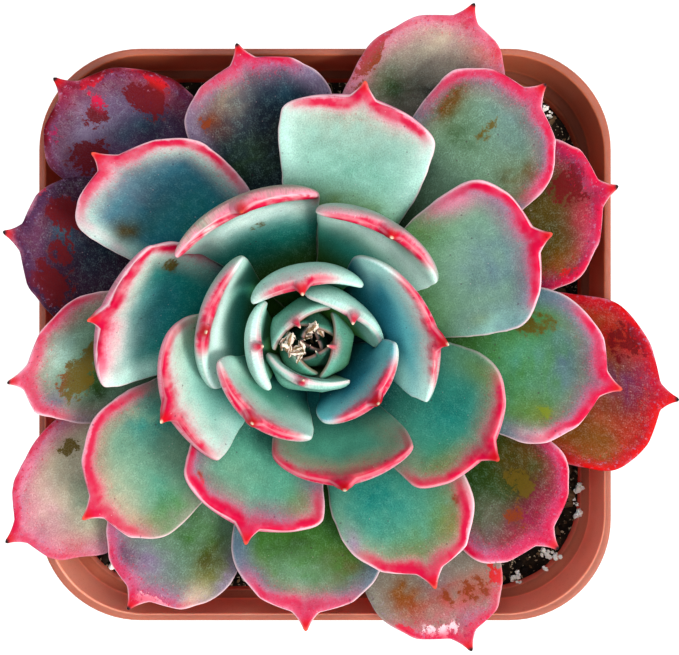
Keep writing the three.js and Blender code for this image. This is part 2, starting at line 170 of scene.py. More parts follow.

# What each leaf shows on its upper face, youngest first: the pigments of its base, middle and
# outer part; how red its margin is left of the tip and how far that runs in mm, and the same on
# the right; then its soft marks, and its ragged ones. A mark is a pigment, its place as a share
# of the length and of the half-width, its reach along and across as such shares, and its strength.
# The deep_teal at the bases of many leaves is partly their own dark green and partly painted shade, where the
# bases lie deep among younger leaves.
LOOKS = [
    (
        ("moss", "sage", "mint"), (0.1, 4, 0.1, 4),
        [("rose", 0.86, 0, 0.1, 0.2, 0.9)],
        [],
    ),
    (
        ("fern", "sea", "mint"), (0.1, 5, 0.1, 5),
        [("crimson", 0.86, 0, 0.08, 0.12, 1.2), ("rose", 0.84, 0, 0.16, 0.3, 0.6)],
        [],
    ),
    (
        ("fern", "sea", "mint"), (0.1, 5, 0.1, 5),
        [("crimson", 0.86, 0, 0.08, 0.12, 1.2), ("rose", 0.84, 0, 0.16, 0.3, 0.6)],
        [],
    ),
    # leaf_04: the ocean blue of its middle is painted shade, for a front that faces away from the key light.
    (
        ("deep_teal", "ocean", "aqua"), (0.8, 9, 0.9, 9),
        [],
        [],
    ),
    (
        ("moss", "teal", "ice"), (0.7, 8, 0.7, 8),
        [],
        [],
    ),
    (
        ("deep_teal", "sea", "ice"), (1, 10, 1, 12),
        [("mint", 0.74, 0, 0.12, 1.2, 0.8), ("frost", 0.9, 0, 0.07, 1.4, 0.9)],
        [],
    ),
    # leaf_07: the ocean blue of its middle is painted shade, for a front that faces away from the key light.
    (
        ("deep_teal", "ocean", "ice"), (1, 14, 0.8, 10),
        [("aqua", 0.7, 0, 0.1, 1.2, 0.8), ("ice", 0.9, 0, 0.06, 1.4, 0.6)],
        [],
    ),
    # leaf_08: the frost mark at 0.7 is partly its pale wax and partly painted light, on a part of the front
    # in the shadow of the curled tip.
    (
        ("moss", "sea", "ice"), (0.8, 6, 1, 13),
        [("teal", 0.46, 0, 0.1, 1.2, 0.8), ("frost", 0.7, 0, 0.14, 1.6, 1)],
        [],
    ),
    (
        ("deep_teal", "sea", "sage"), (1, 16, 1, 17),
        [("sea", 0.7, 0, 0.12, 0.9, 0.5), ("lime", 0.86, 0.3, 0.07, 0.6, 0.4)],
        [],
    ),
    # leaf_10: the frost mark at 0.7 is partly its pale wax and partly painted light, on a part of the front
    # in the shadow of the curled tip.
    (
        ("moss", "sea", "ice"), (1, 14, 1, 11),
        [("teal", 0.44, 0, 0.1, 1.2, 0.8), ("frost", 0.7, 0, 0.14, 1.6, 1)],
        [],
    ),
    (
        ("deep_teal", "mint", "ice"), (0.9, 14, 1, 17),
        [("teal", 0.42, 0.4, 0.25, 0.6, 0.8), ("fern", 0.5, -0.8, 0.2, 0.3, 0.7)],
        [],
    ),
    (
        ("deep_teal", "sea", "sage"), (1, 15, 1, 18),
        [("teal", 0.66, 0.1, 0.22, 0.6, 0.8), ("fern", 0.82, -0.6, 0.12, 0.4, 0.6),
         ("fern", 0.72, 0.85, 0.16, 0.2, 0.6), ("coral", 0.9, 0.6, 0.05, 0.3, 0.4)],
        [("plum", 0.84, 0.8, 0.03, 0.08, 1)],
    ),
    # leaf_13: the frost mark at 0.7 is partly its pale wax and partly painted light, on a part of the front
    # in the shadow of the curled tip.
    (
        ("moss", "teal", "ice"), (1, 17, 1, 17),
        [("teal", 0.46, 0, 0.1, 1.2, 0.8), ("frost", 0.7, 0, 0.12, 1.6, 1)],
        [("olive", 0.57, 0.05, 0.03, 0.1, 1)],
    ),
    (
        ("deep_teal", "sea", "slate"), (0.95, 18, 1.1, 20),
        [("sage", 0.72, -0.3, 0.14, 0.5, 0.6), ("lime", 0.75, 0.7, 0.1, 0.24, 0.55),
         ("cream", 0.82, 0.85, 0.1, 0.16, 0.5), ("mauve", 0.88, -0.45, 0.04, 0.3, 0.45)],
        [("scarlet", 0.83, -0.82, 0.055, 0.1, 1.2), ("rust", 0.78, -0.82, 0.02, 0.06, 0.8)],
    ),
    (
        ("fern", "sage", "slate"), (0.95, 22, 0.9, 13),
        [("slate", 0.74, -0.1, 0.2, 0.6, 0.6), ("fern", 0.5, 0.7, 0.14, 0.3, 0.6),
         ("mint", 0.66, -0.85, 0.2, 0.16, 0.7), ("lime", 0.6, -0.72, 0.06, 0.1, 0.4),
         ("blush", 0.7, 0.88, 0.1, 0.14, 0.5)],
        [],
    ),
    (
        ("deep_teal", "teal", "ice"), (0.85, 13, 1.1, 22),
        [("ice", 0.82, 0.3, 0.12, 0.6, 0.8), ("blush", 0.88, 0.5, 0.09, 0.6, 0.75),
         ("ocean", 0.66, -0.05, 0.12, 0.5, 0.5), ("coral", 0.95, 0.1, 0.03, 0.15, 0.5)],
        [("olive", 0.69, -0.68, 0.045, 0.1, 1.1)],
    ),
    (
        ("deep_teal", "sea", "sage"), (0.95, 20, 0.8, 15),
        [("teal", 0.58, -0.3, 0.16, 0.6, 0.7), ("lime", 0.76, 0.55, 0.1, 0.3, 0.65),
         ("lime", 0.82, -0.05, 0.07, 0.4, 0.45), ("coral", 0.76, 0.86, 0.1, 0.1, 0.9),
         ("lilac", 0.74, -0.88, 0.07, 0.12, 0.6)],
        [("rust", 0.7, 0.78, 0.05, 0.12, 0.6)],
    ),
    (
        ("fern", "mint", "ice"), (1, 14, 1, 15),
        [("fern", 0.42, 0.3, 0.1, 0.9, 0.6), ("mint", 0.7, 0, 0.2, 0.7, 0.4),
         ("stone", 0.8, 0.1, 0.12, 0.7, 0.35), ("sea", 0.62, -0.1, 0.1, 0.6, 0.4),
         ("lime", 0.45, 0, 0.08, 0.6, 0.5), ("blush", 0.9, -0.6, 0.06, 0.3, 0.6)],
        [("scarlet", 0.88, -0.84, 0.04, 0.08, 1)],
    ),
    (
        ("deep_teal", "sage", "stone"), (0.6, 14, 1.1, 24),
        [("teal", 0.58, -0.55, 0.13, 0.4, 0.8), ("sea", 0.7, 0.45, 0.1, 0.5, 0.6),
         ("fern", 0.72, 0.75, 0.1, 0.25, 0.6), ("cream", 0.86, 0.1, 0.08, 0.5, 0.45),
         ("coral", 0.88, 0.7, 0.06, 0.25, 0.4)],
        [("scarlet", 0.81, -0.9, 0.07, 0.06, 1.2)],
    ),
    (
        ("moss", "fern", "slate"), (0.85, 17, 0.9, 19),
        [("sea", 0.64, 0, 0.14, 0.8, 0.5), ("slate", 0.8, 0.1, 0.09, 0.6, 0.6),
         ("mauve", 0.88, 0.1, 0.05, 0.35, 0.35), ("lime", 0.74, -0.6, 0.08, 0.25, 0.5),
         ("shell", 0.8, -0.88, 0.1, 0.1, 0.6)],
        [("olive", 0.65, 0.5, 0.055, 0.16, 1.1), ("olive", 0.7, 0.62, 0.045, 0.12, 0.9),
         ("lime", 0.77, -0.55, 0.03, 0.08, 0.8)],
    ),
    (
        ("deep_teal", "ocean", "ice"), (0.6, 16, 0.95, 26),
        [("teal", 0.6, 0, 0.12, 0.6, 0.6), ("slate", 0.8, 0.1, 0.12, 0.6, 0.6),
         ("night", 0.7, -0.1, 0.1, 0.4, 0.25), ("olive", 0.69, 0.66, 0.05, 0.18, 0.7),
         ("blush", 0.92, 0.4, 0.05, 0.4, 0.6), ("shell", 0.68, 0.92, 0.2, 0.07, 0.5)],
        [],
    ),
    (
        ("moss", "fern", "slate"), (0.55, 13, 0.75, 15),
        [("olive", 0.76, 0.5, 0.08, 0.35, 0.65), ("moss", 0.68, -0.2, 0.08, 0.4, 0.6),
         ("sage", 0.82, -0.05, 0.09, 0.45, 0.8), ("lilac", 0.84, -0.7, 0.08, 0.25, 0.5),
         ("rose", 0.9, 0, 0.05, 0.6, 0.4)],
        [],
    ),
    (
        ("moss", "sage", "slate"), (0.95, 22, 0.95, 20),
        [("slate", 0.82, -0.1, 0.08, 0.4, 0.3), ("olive", 0.74, 0.78, 0.09, 0.22, 1),
         ("moss", 0.7, 0.3, 0.06, 0.3, 0.6), ("olive", 0.74, -0.62, 0.07, 0.28, 0.85),
         ("lime", 0.7, -0.78, 0.06, 0.15, 0.5), ("magenta", 0.93, 0.3, 0.04, 0.3, 0.55),
         ("rose", 0.82, -0.88, 0.1, 0.12, 0.6)],
        [("olive", 0.77, 0.14, 0.05, 0.07, 1.1)],
    ),
    (
        ("moss", "sage", "stone"), (0.65, 16, 0.95, 20),
        [("ice", 0.84, -0.25, 0.08, 0.35, 0.6), ("moss", 0.68, 0.2, 0.06, 0.5, 0.9),
         ("slate", 0.84, 0.45, 0.08, 0.2, 0.7), ("lilac", 0.78, 0.85, 0.08, 0.14, 0.6),
         ("rose", 0.84, -0.78, 0.08, 0.16, 0.5)],
        [("olive", 0.76, 0.2, 0.05, 0.3, 1.3), ("olive", 0.72, -0.05, 0.04, 0.3, 1.1),
         ("rust", 0.8, 0.15, 0.03, 0.2, 0.8)],
    ),
    (
        ("moss", "moss", "magenta"), (1, 20, 1, 21),
        [("olive", 0.7, 0.55, 0.08, 0.35, 1), ("stone", 0.76, -0.35, 0.07, 0.25, 0.6),
         ("wine", 0.84, 0.1, 0.06, 0.4, 0.5), ("magenta", 0.89, 0.1, 0.08, 0.7, 0.95),
         ("lilac", 0.82, -0.75, 0.08, 0.2, 0.6)],
        [("olive", 0.76, 0.28, 0.05, 0.2, 1.2), ("rust", 0.83, -0.1, 0.045, 0.1, 1.2)],
    ),
    (
        ("ink", "night", "lilac"), (0.6, 14, 0.85, 12),
        [("moss", 0.6, 0.3, 0.08, 0.5, 0.6), ("ink", 0.66, -0.3, 0.09, 0.4, 0.9),
         ("ocean", 0.83, -0.35, 0.07, 0.3, 0.6), ("mauve", 0.89, -0.4, 0.06, 0.35, 0.5),
         ("stone", 0.84, 0.4, 0.08, 0.35, 0.8), ("rust", 0.77, 0.62, 0.06, 0.2, 0.6)],
        [("rust", 0.77, 0.75, 0.03, 0.08, 0.7), ("scarlet", 0.93, -0.62, 0.02, 0.22, 1.2)],
    ),
    (
        ("fern", "sage", "lilac"), (0.5, 14, 0.7, 18),
        [("lime", 0.76, 0.68, 0.08, 0.25, 0.9), ("olive", 0.7, 0.55, 0.07, 0.22, 1),
         ("fern", 0.66, 0.1, 0.08, 0.5, 0.7), ("cream", 0.86, 0.72, 0.07, 0.2, 0.8),
         ("lilac", 0.84, -0.2, 0.07, 0.4, 0.8), ("mauve", 0.88, -0.55, 0.06, 0.25, 0.7)],
        [("shell", 0.94, 0.25, 0.03, 0.3, 1.1), ("crimson", 0.95, -0.05, 0.02, 0.08, 0.8)],
    ),
    (
        ("moss", "olive", "magenta"), (0.8, 16, 1, 24),
        [("gold", 0.78, -0.7, 0.07, 0.25, 0.8), ("olive", 0.78, -0.2, 0.08, 0.4, 0.7),
         ("lilac", 0.93, 0.4, 0.05, 0.25, 0.8), ("rose", 0.9, -0.5, 0.05, 0.35, 0.8),
         ("crimson", 0.88, -0.2, 0.05, 0.25, 0.5)],
        [("wine", 0.86, 0.25, 0.06, 0.25, 1.2), ("scarlet", 0.8, -0.9, 0.05, 0.1, 1.1)],
    ),
    (
        ("ink", "plum", "plum"), (0.5, 14, 0.6, 14),
        [("night", 0.68, -0.2, 0.08, 0.5, 0.8), ("mauve", 0.88, 0, 0.05, 0.8, 0.6),
         ("ocean", 0.8, -0.25, 0.05, 0.2, 0.5)],
        [("wine", 0.82, 0.5, 0.07, 0.3, 1.5), ("wine", 0.78, -0.5, 0.1, 0.2, 1.4),
         ("wine", 0.8, 0.05, 0.04, 0.25, 1.1), ("scarlet", 0.9, -0.7, 0.03, 0.1, 1),
         ("rust", 0.72, 0.8, 0.05, 0.14, 0.8), ("crimson", 0.96, 0.1, 0.02, 0.15, 0.5)],
    ),
    (
        ("moss", "stone", "stone"), (0.6, 15, 0.7, 15),
        [("slate", 0.78, -0.1, 0.07, 0.3, 0.6), ("gold", 0.77, -0.48, 0.06, 0.24, 1.2),
         ("coral", 0.86, 0.1, 0.08, 0.8, 0.8), ("blush", 0.89, -0.1, 0.04, 0.5, 0.6),
         ("lilac", 0.9, 0.3, 0.03, 0.35, 0.5)],
        [("rust", 0.83, 0.3, 0.05, 0.5, 0.45), ("shell", 0.91, -0.28, 0.03, 0.25, 1),
         ("scarlet", 0.88, -0.78, 0.035, 0.12, 1.3), ("scarlet", 0.81, 0.84, 0.045, 0.12, 1.2),
         ("wine", 0.955, 0.15, 0.02, 0.2, 1.1), ("scarlet", 0.94, 0.35, 0.025, 0.25, 0.8)],
    ),
    (
        ("ink", "stone", "blush"), (0.5, 28, 0.55, 17),
        [("ink", 0.7, 0, 0.06, 0.5, 0.7), ("stone", 0.82, 0.1, 0.07, 0.5, 0.6),
         ("cream", 0.86, 0.2, 0.07, 0.5, 0.5), ("coral", 0.89, -0.55, 0.06, 0.3, 0.7),
         ("moss", 0.7, 0.5, 0.05, 0.3, 0.7), ("scarlet", 0.95, 0, 0.03, 0.12, 0.7)],
        [("rust", 0.76, 0.88, 0.1, 0.1, 1.4)],
    ),
    (
        ("stone", "cream", "blush"), (0.5, 20, 0.8, 26),
        [("sage", 0.74, 0.2, 0.08, 0.6, 0.5), ("blush", 0.88, 0.1, 0.07, 0.8, 0.5),
         ("coral", 0.88, 0.7, 0.07, 0.25, 0.6)],
        [("olive", 0.71, -0.55, 0.035, 0.1, 1.2), ("scarlet", 0.8, -0.92, 0.1, 0.05, 1)],
    ),
    (
        ("olive", "gold", "scarlet"), (0.9, 30, 0.9, 30),
        [("magenta", 0.87, 0.08, 0.08, 0.32, 1.2), ("scarlet", 0.84, 0.7, 0.11, 0.3, 1.1),
         ("scarlet", 0.87, -0.6, 0.08, 0.26, 1.1), ("coral", 0.76, -0.3, 0.08, 0.4, 0.4),
         ("mauve", 0.82, 0.1, 0.06, 0.25, 0.7), ("scarlet", 0.93, -0.35, 0.04, 0.3, 0.9),
         ("gold", 0.76, -0.7, 0.07, 0.25, 1.3)],
        [("wine", 0.86, 0.62, 0.06, 0.22, 1), ("wine", 0.8, 0.4, 0.05, 0.12, 0.9),
         ("rust", 0.74, 0.6, 0.04, 0.25, 0.8), ("ink", 0.98, 0, 0.012, 0.06, 1)],
    ),
    (
        ("plum", "mauve", "mauve"), (0.8, 20, 1, 26),
        [("lilac", 0.83, 0.2, 0.07, 0.6, 0.9), ("crimson", 0.95, 0, 0.03, 0.5, 0.5),
         ("scarlet", 0.82, -0.8, 0.1, 0.16, 0.7), ("night", 0.7, -0.4, 0.06, 0.3, 0.7),
         ("ocean", 0.75, -0.15, 0.04, 0.25, 0.4)],
        [("wine", 0.77, 0.5, 0.045, 0.24, 1.6), ("crimson", 0.87, -0.15, 0.03, 0.1, 1.2),
         ("wine", 0.84, 0.02, 0.03, 0.16, 1.1), ("wine", 0.78, -0.62, 0.06, 0.22, 1.4),
         ("scarlet", 0.93, -0.45, 0.025, 0.3, 1.2), ("scarlet", 0.84, -0.85, 0.08, 0.1, 1.3),
         ("magenta", 0.9, 0.6, 0.05, 0.2, 0.7)],
    ),
]
HEART_LOOK = (
    ("bottle", "bottle", "moss"), (0, 2, 0, 2),
    [("rose", 0.88, 0, 0.08, 0.16, 0.3)],
    [],
)

# Pigments of the red line and the halo beside it, and those of the leaves that differ
PLAIN_REDS = ("crimson", "rose")
OTHER_REDS = {
    27: ("crimson", "magenta"),
    28: ("plum", "mauve"),
    32: ("scarlet", "crimson"),
    33: ("wine", "magenta"),
}

# How the leaves' looks change from the youngest, at age 0, to the oldest, at age 1. The leaves of
# the heart have ages below 0.
# The backs of the heart's leaves turn bottle green the further inside the bud they sit: partly their own
# green, partly painted shade.
BACK_INNER = [
    (-0.15, "bottle"), (-0.06, "moss"), (0, "sea"), (0.06, "mint"), (0.2, "sage"), (0.6, "sage"),
    (1, "mauve"),
]
BACK_OUTER = [
    (-0.15, "bottle"), (-0.06, "sea"), (0, "mint"), (0.06, "ice"), (0.2, "mint"), (0.38, "stone"),
    (0.6, "lilac"), (1, "lilac"),
]
RED_LINE_AT = [(0, 0.0), (0.2, 0.0), (0.35, 0.5), (0.5, 0.9), (0.8, 0.6), (1, 0.35)]  # mm inside the margin
RED_LINE_WIDTH = [(0, 0.45), (0.2, 0.6), (0.5, 0.42), (1, 0.45)]  # half of it, in mm
BLOOM_REACH = [(0, 6.5), (0.35, 6.5), (0.5, 4.5), (1, 4.5)]  # mm from the margin
BASE_SHADE = [(0, 1.0), (0.3, 0.8), (0.6, 0.5), (1, 0.45)]
DEPTH_OF_TONE = [(0, 1.0), (0.45, 1.0), (0.7, 0.72), (1, 0.66)]
PALE_RIM = [(-0.05, 0.2), (0, 0.55), (0.12, 0.25), (0.3, 0.2), (0.45, 0.8), (0.8, 0.6), (0.92, 0.1)]


# Numbers and curves


def along(points, x):
    """Value at x of a line through sorted (x, value) points, held level past both ends."""
    places, values = zip(*points)
    return np.interp(x, places, values)


def smooth(low, high, x):
    """0 below low, 1 above high, and a smooth rise between. low may be the greater of the two."""
    t = np.clip((np.asarray(x, float) - low) / (high - low), 0, 1)
    return t * t * (3 - 2 * t)


def noise(points, size, seed):
    """Smooth noise from -1 to 1 at points of two or three coordinates, with bumps of that size."""
    p = np.asarray(points, float) / size
    cell = np.floor(p).astype(np.int64)
    f = p - cell
    f = f * f * (3 - 2 * f)
    dims = p.shape[-1]
    total = np.zeros(p.shape[:-1])
    for corner in range(2**dims):
        bits = [(corner >> d) & 1 for d in range(dims)]
        key = np.full(p.shape[:-1], seed * 7919, np.int64)
        weight = np.ones(p.shape[:-1])
        for d in range(dims):
            key = key * 1103515245 + (cell[..., d] + bits[d]) * 374761393 + 668265263 * (d + 1)
            key = (key ^ (key >> 13)) & 0x7FFFFFFF
            weight = weight * (f[..., d] if bits[d] else 1 - f[..., d])
        key = (key * 1274126177) & 0x7FFFFFFF
        total += weight * (key / 0x3FFFFFFF - 1)
    return total


def direction(angle):
    """The flat unit vector at an angle."""
    return np.array([math.cos(angle), math.sin(angle)])


def linear(colour):
    """A screen colour of 0 to 255 as linear light."""
    c = np.asarray(colour, float) / 255
    return np.where(c <= 0.04045, c / 12.92, ((c + 0.055) / 1.055) ** 2.4)


PAINT = {name: linear(colour) for name, colour in PIGMENTS.items()}


def blend_by_age(stops, age):
    """The pigment at an age, between those of a list of (age, pigment)."""
    ages = [a for a, _ in stops]
    colours = np.array([PAINT[name] for _, name in stops])
    return np.array([np.interp(age, ages, colours[:, k]) for k in range(3)])


# Meshes


def make_piece(name, points, faces, material, smooth_faces=True, replaces=()):
    """A named mesh object from points in mm and lists of faces, riding on the frame's one body."""
    mesh = bpy.data.meshes.new(name)
    sizes = np.concatenate([np.full(len(block), block.shape[1]) for block in faces])
    corners = np.concatenate([block.ravel() for block in faces])
    mesh.vertices.add(len(points))
    mesh.vertices.foreach_set("co", (np.asarray(points) * MM).astype(np.float32).ravel())
    mesh.loops.add(len(corners))
    mesh.loops.foreach_set("vertex_index", corners.astype(np.int32))
    mesh.polygons.add(len(sizes))
    mesh.polygons.foreach_set("loop_start", np.concatenate([[0], np.cumsum(sizes)[:-1]]).astype(np.int32))
    mesh.polygons.foreach_set("use_smooth", np.full(len(sizes), smooth_faces))
    mesh.update(calc_edges=True)
    mesh.validate()
    mesh.materials.append(material)
    piece = bpy.data.objects.new(name, mesh)
    bpy.context.scene.collection.objects.link(piece)
    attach(piece, "root")
    if replaces:
        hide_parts(*replaces)
    return piece


def set_values(piece, name, values):
    """Stores one number or one vector or colour for each vertex of a piece, for its material."""
    values = np.asarray(values, np.float32)
    if values.ndim == 1:
        piece.data.attributes.new(name, "FLOAT", "POINT").data.foreach_set("value", values)
    elif name == "cell":
        piece.data.attributes.new(name, "FLOAT_VECTOR", "POINT").data.foreach_set("vector", values.ravel())
    else:
        colours = np.concatenate([values, np.ones((len(values), 1), np.float32)], axis=1)
        piece.data.attributes.new(name, "FLOAT_COLOR", "POINT").data.foreach_set("color", colours.ravel())


def loft(rings, tip=None):
    """Points and faces of a closed surface through rings of points, anticlockwise about their way.
    Both ends close in a fan, the last one to the tip where it is given."""
    rows, count = rings.shape[:2]
    end = rings[-1].mean(axis=0) if tip is None else tip
    points = np.concatenate([rings.reshape(-1, 3), [rings[0].mean(axis=0)], [end]])
    j = np.arange(count)
    after = (j + 1) % count
    low = (np.arange(rows - 1) * count)[:, None]
    quads = np.stack([low + j, low + after, low + count + after, low + count + j], axis=-1).reshape(-1, 4)
    start_fan = np.stack([np.full(count, rows * count), after, j], axis=-1)
    last = (rows - 1) * count
    end_fan = np.stack([np.full(count, rows * count + 1), last + j, last + after], axis=-1)
    return points, [quads, np.concatenate([start_fan, end_fan])]


def joined(parts):
    """Several (points, faces) as one, where faces are lists of blocks of one face size each."""
    points, blocks, start = [], {}, 0
    for part_points, part_faces in parts:
        points.append(part_points)
        for block in part_faces:
            blocks.setdefault(block.shape[1], []).append(block + start)
        start += len(part_points)
    return np.concatenate(points), [np.concatenate(b) for b in blocks.values()]


def rounded_square(half, corner, steps, between):
    """Points round a square with rounded corners, anticlockwise from the far end of its +X side."""
    outline = []
    to_arc = (half - corner) * math.sqrt(2)
    for side in range(4):
        turn = side * math.pi / 2
        angles = turn + np.linspace(0, math.pi / 2, steps + 1)
        bow = corner * np.stack([np.cos(angles), np.sin(angles)], axis=-1)
        arc = to_arc * direction(turn + math.pi / 4) + bow
        next_start = to_arc * direction(turn + 3 * math.pi / 4) + corner * direction(turn + math.pi / 2)
        shares = np.linspace(0, 1, between + 2)[1:-1, None]
        outline.append(arc)
        outline.append(arc[-1] * (1 - shares) + next_start * shares)
    return np.concatenate(outline)


def rounded_profile(corners, steps=5):
    """A line through (half, height, radius) corners, each eased over its radius."""
    line = [np.array(corners[0][:2], float)]
    for before, here, after in zip(corners, corners[1:], corners[2:]):
        p, q, r = (np.array(c[:2], float) for c in (before, here, after))
        ease = min(here[2], np.linalg.norm(p - q) / 2, np.linalg.norm(r - q) / 2)
        start = q + (p - q) / np.linalg.norm(p - q) * ease
        end = q + (r - q) / np.linalg.norm(r - q) * ease
        for t in np.linspace(0, 1, steps):
            line.append((1 - t) ** 2 * start + 2 * t * (1 - t) * q + t**2 * end)
    line.append(np.array(corners[-1][:2], float))
    return np.array(line)


# The leaf shape


def half_width(share, length, widest, apex):
    """Half-width in mm at a share of the length, for one half of a leaf. Some of the constants
    started from a fit, like the numbers in LEAVES, and were then changed one by one."""
    apex_start = 1 - apex / length
    mucro_start = 1 - 1.45 * MUCRO * min(1, widest / 10) / length
    blade = 0.34 + 0.66 * np.sin(np.pi / 2 * np.clip(share / apex_start, 0, 1)) ** 1.7
    rounding = np.clip((share - apex_start) / (mucro_start - apex_start), 0, 1)
    dome = (1 - rounding**2.4) ** 0.66
    from_tip = np.minimum((1 - share) * length, 4.5)
    spine = 0.26 * np.sqrt(np.clip(from_tip / 0.3, 0, 1)) + 0.26 * from_tip + 0.13 * from_tip**2
    spine = spine * min(1, widest / 10) / widest * smooth(0.5, 0.85, rounding)
    return np.where(share <= apex_start, blade, (dome**2.2 + spine**2.2) ** (1 / 2.2)) * widest


def leaf_fullness(share, apex_start, mucro_start, thinning):
    """Thickness at a share of the length, as a share of the thickest."""
    body = 0.72 + 0.28 * np.sin(np.pi * np.clip(share / apex_start / 1.3, 0, 1))
    taper = np.clip((share - apex_start) / (1 - apex_start), 0, 1)
    point = np.clip((1 - share) / (1 - mucro_start), 0.02, 1) ** 0.75
    return body * (1 - thinning * taper**1.8) * point


def build_leaf(leaf, blade_steps, apex_steps, sides, first_share):
    """A leaf's rings, its tip, and for each ring point where it lies on the leaf."""
    half = leaf["width"] / 2
    base, tip = np.array(leaf["base"]), np.array(leaf["tip"])
    chord = tip - base
    mean = math.atan2(chord[1], chord[0])
    curl = leaf["curl"] * DEGREE
    handle = 0.36 * np.linalg.norm(chord) / math.cos(curl * 0.6)
    after_base = base + handle * direction(mean - curl)
    before_tip = tip - handle * direction(mean + curl)
    t = np.linspace(0, 1, 401)[:, None]
    line = (1 - t) ** 3 * base + 3 * (1 - t) ** 2 * t * after_base
    line = line + 3 * (1 - t) * t**2 * before_tip + t**3 * tip
    steps = np.linalg.norm(np.diff(line, axis=0), axis=1)
    run = np.concatenate([[0], np.cumsum(steps)])
    length = run[-1]
    heading = np.gradient(line, run, axis=0)
    heading /= np.linalg.norm(heading, axis=1)[:, None]

    apex_start = 1 - leaf["apex"] / length
    mucro_start = 1 - MUCRO * min(1, half / 10) / length
    dome_start = 1 - max(leaf["left_apex"], leaf["right_apex"]) / length
    share = np.concatenate([
        np.linspace(first_share, dome_start, blade_steps),
        dome_start + (mucro_start - dome_start) * np.sin(np.linspace(0, np.pi / 2, apex_steps))[1:],
        mucro_start + (1 - mucro_start) * np.linspace(0, 0.96, 9)[1:],
    ])
    place = np.stack([np.interp(share, run / length, line[:, k]) for k in (0, 1)], axis=-1)
    tangent = np.stack([np.interp(share, run / length, heading[:, k]) for k in (0, 1)], axis=-1)

    azimuth = leaf["azimuth"]
    out = np.array([math.cos(azimuth), math.sin(azimuth), 0])
    side = np.array([-math.sin(azimuth), math.cos(azimuth), 0])
    up = np.array([0, 0, 1.0])
    centre = PLANT + place[:, :1] * out + place[:, 1:] * up + (leaf["sway"] * share**2)[:, None] * side
    drift = np.arctan(2 * leaf["sway"] * share / length)[:, None]
    forward = tangent[:, :1] * out + tangent[:, 1:] * up
    above = -tangent[:, 1:] * out + tangent[:, :1] * up
    across = side * np.cos(drift) - forward * np.sin(drift)

    angle = 2 * np.pi * np.arange(sides) / sides
    c, s = np.cos(angle), np.sin(angle)
    wide = np.sign(c) * np.abs(c) ** 0.8
    high = np.sign(s) * np.abs(s) ** 0.8
    seed = leaf["seed"]
    left, right = half * leaf["left"], half * leaf["right"]
    width = np.where(
        c >= 0,
        half_width(share, length, left, leaf["left_apex"])[:, None],
        half_width(share, length, right, leaf["right_apex"])[:, None],
    )
    depth = leaf_fullness(share, apex_start, mucro_start, leaf["thinning"]) * leaf["thickness"]
    calm = smooth(1, 3, length * (mucro_start - share))  # no waves near the spine

    # The margin is a little uneven, and its edge waves up and down
    along_mm = (share * length)[:, None] * np.ones(sides)
    edge_side = np.where(c >= 0, 1.0, -1.0)[None, :] * np.ones((len(share), 1))
    uneven = 0.16 * noise(np.stack([along_mm, 40 * edge_side], -1), 3.1, seed)
    uneven += 0.07 * noise(np.stack([along_mm, 40 * edge_side], -1), 1.1, seed + 1)
    arc = (width + uneven * calm[:, None] * np.abs(wide)) * wide
    lift = depth[:, None] * np.where(s > 0, 0.4, 0.6) * high
    off_middle = np.clip(np.abs(arc) / half, 0, 1)
    wave = 0.3 * noise(np.stack([along_mm, 3 * arc / half + 9], -1), 5.5, seed + 2)
    lift = lift + wave * off_middle**3 * calm[:, None]
    lift = lift + 0.07 * noise(np.stack([along_mm, arc], -1), 3.4, seed + 3) * calm[:, None]
    channel = 0.35 * smooth(0.55, 0.95, share)[:, None] * np.exp(-((arc / 1.6) ** 2))
    lift = lift - channel * (s > 0) * calm[:, None]

    bend = leaf["cup"] * DEGREE / half
    turn = bend * arc
    rings = (
        centre[:, None]
        + forward[:, None] * (leaf["skew"] * arc * share[:, None])[..., None]
        + across[:, None] * (np.sin(turn) / bend - np.sin(turn) * lift)[..., None]
        + above[:, None] * ((1 - np.cos(turn)) / bend + np.cos(turn) * lift)[..., None]
    )
    tip_point = PLANT + out * tip[0] + up * tip[1] + side * leaf["sway"]

    # Distance from the margin along the skin, and above the upper face or under the lower one
    rim_share = np.linspace(first_share, 1, 160)
    rim_left = half_width(rim_share, length, left, leaf["left_apex"])
    rim_right = -half_width(rim_share, length, right, leaf["right_apex"])
    rim = np.stack([np.tile(rim_share, 2) * length, np.concatenate([rim_left, rim_right])], -1)
    flat = np.stack([along_mm, arc], -1).reshape(-1, 1, 2)
    to_rim = np.sqrt(((flat - rim) ** 2).sum(-1)).min(axis=1).reshape(arc.shape)
    inside = np.abs(arc) < width * 0.999
    skin = depth[:, None] * np.where(s > 0, 0.4, 0.6) * np.abs(high)
    edge = np.sqrt((to_rim * inside) ** 2 + skin**2) * np.where(s >= 0, 1, -1)
    return {
        "rings": rings,
        "tip": tip_point,
        "above": above,
        "upper": s > -1e-6,
        "share": share[:, None] * np.ones(sides),
        "across": arc / half,
        "edge": edge,
        "length": length,
        "half": half,
        "seed": seed,
    }


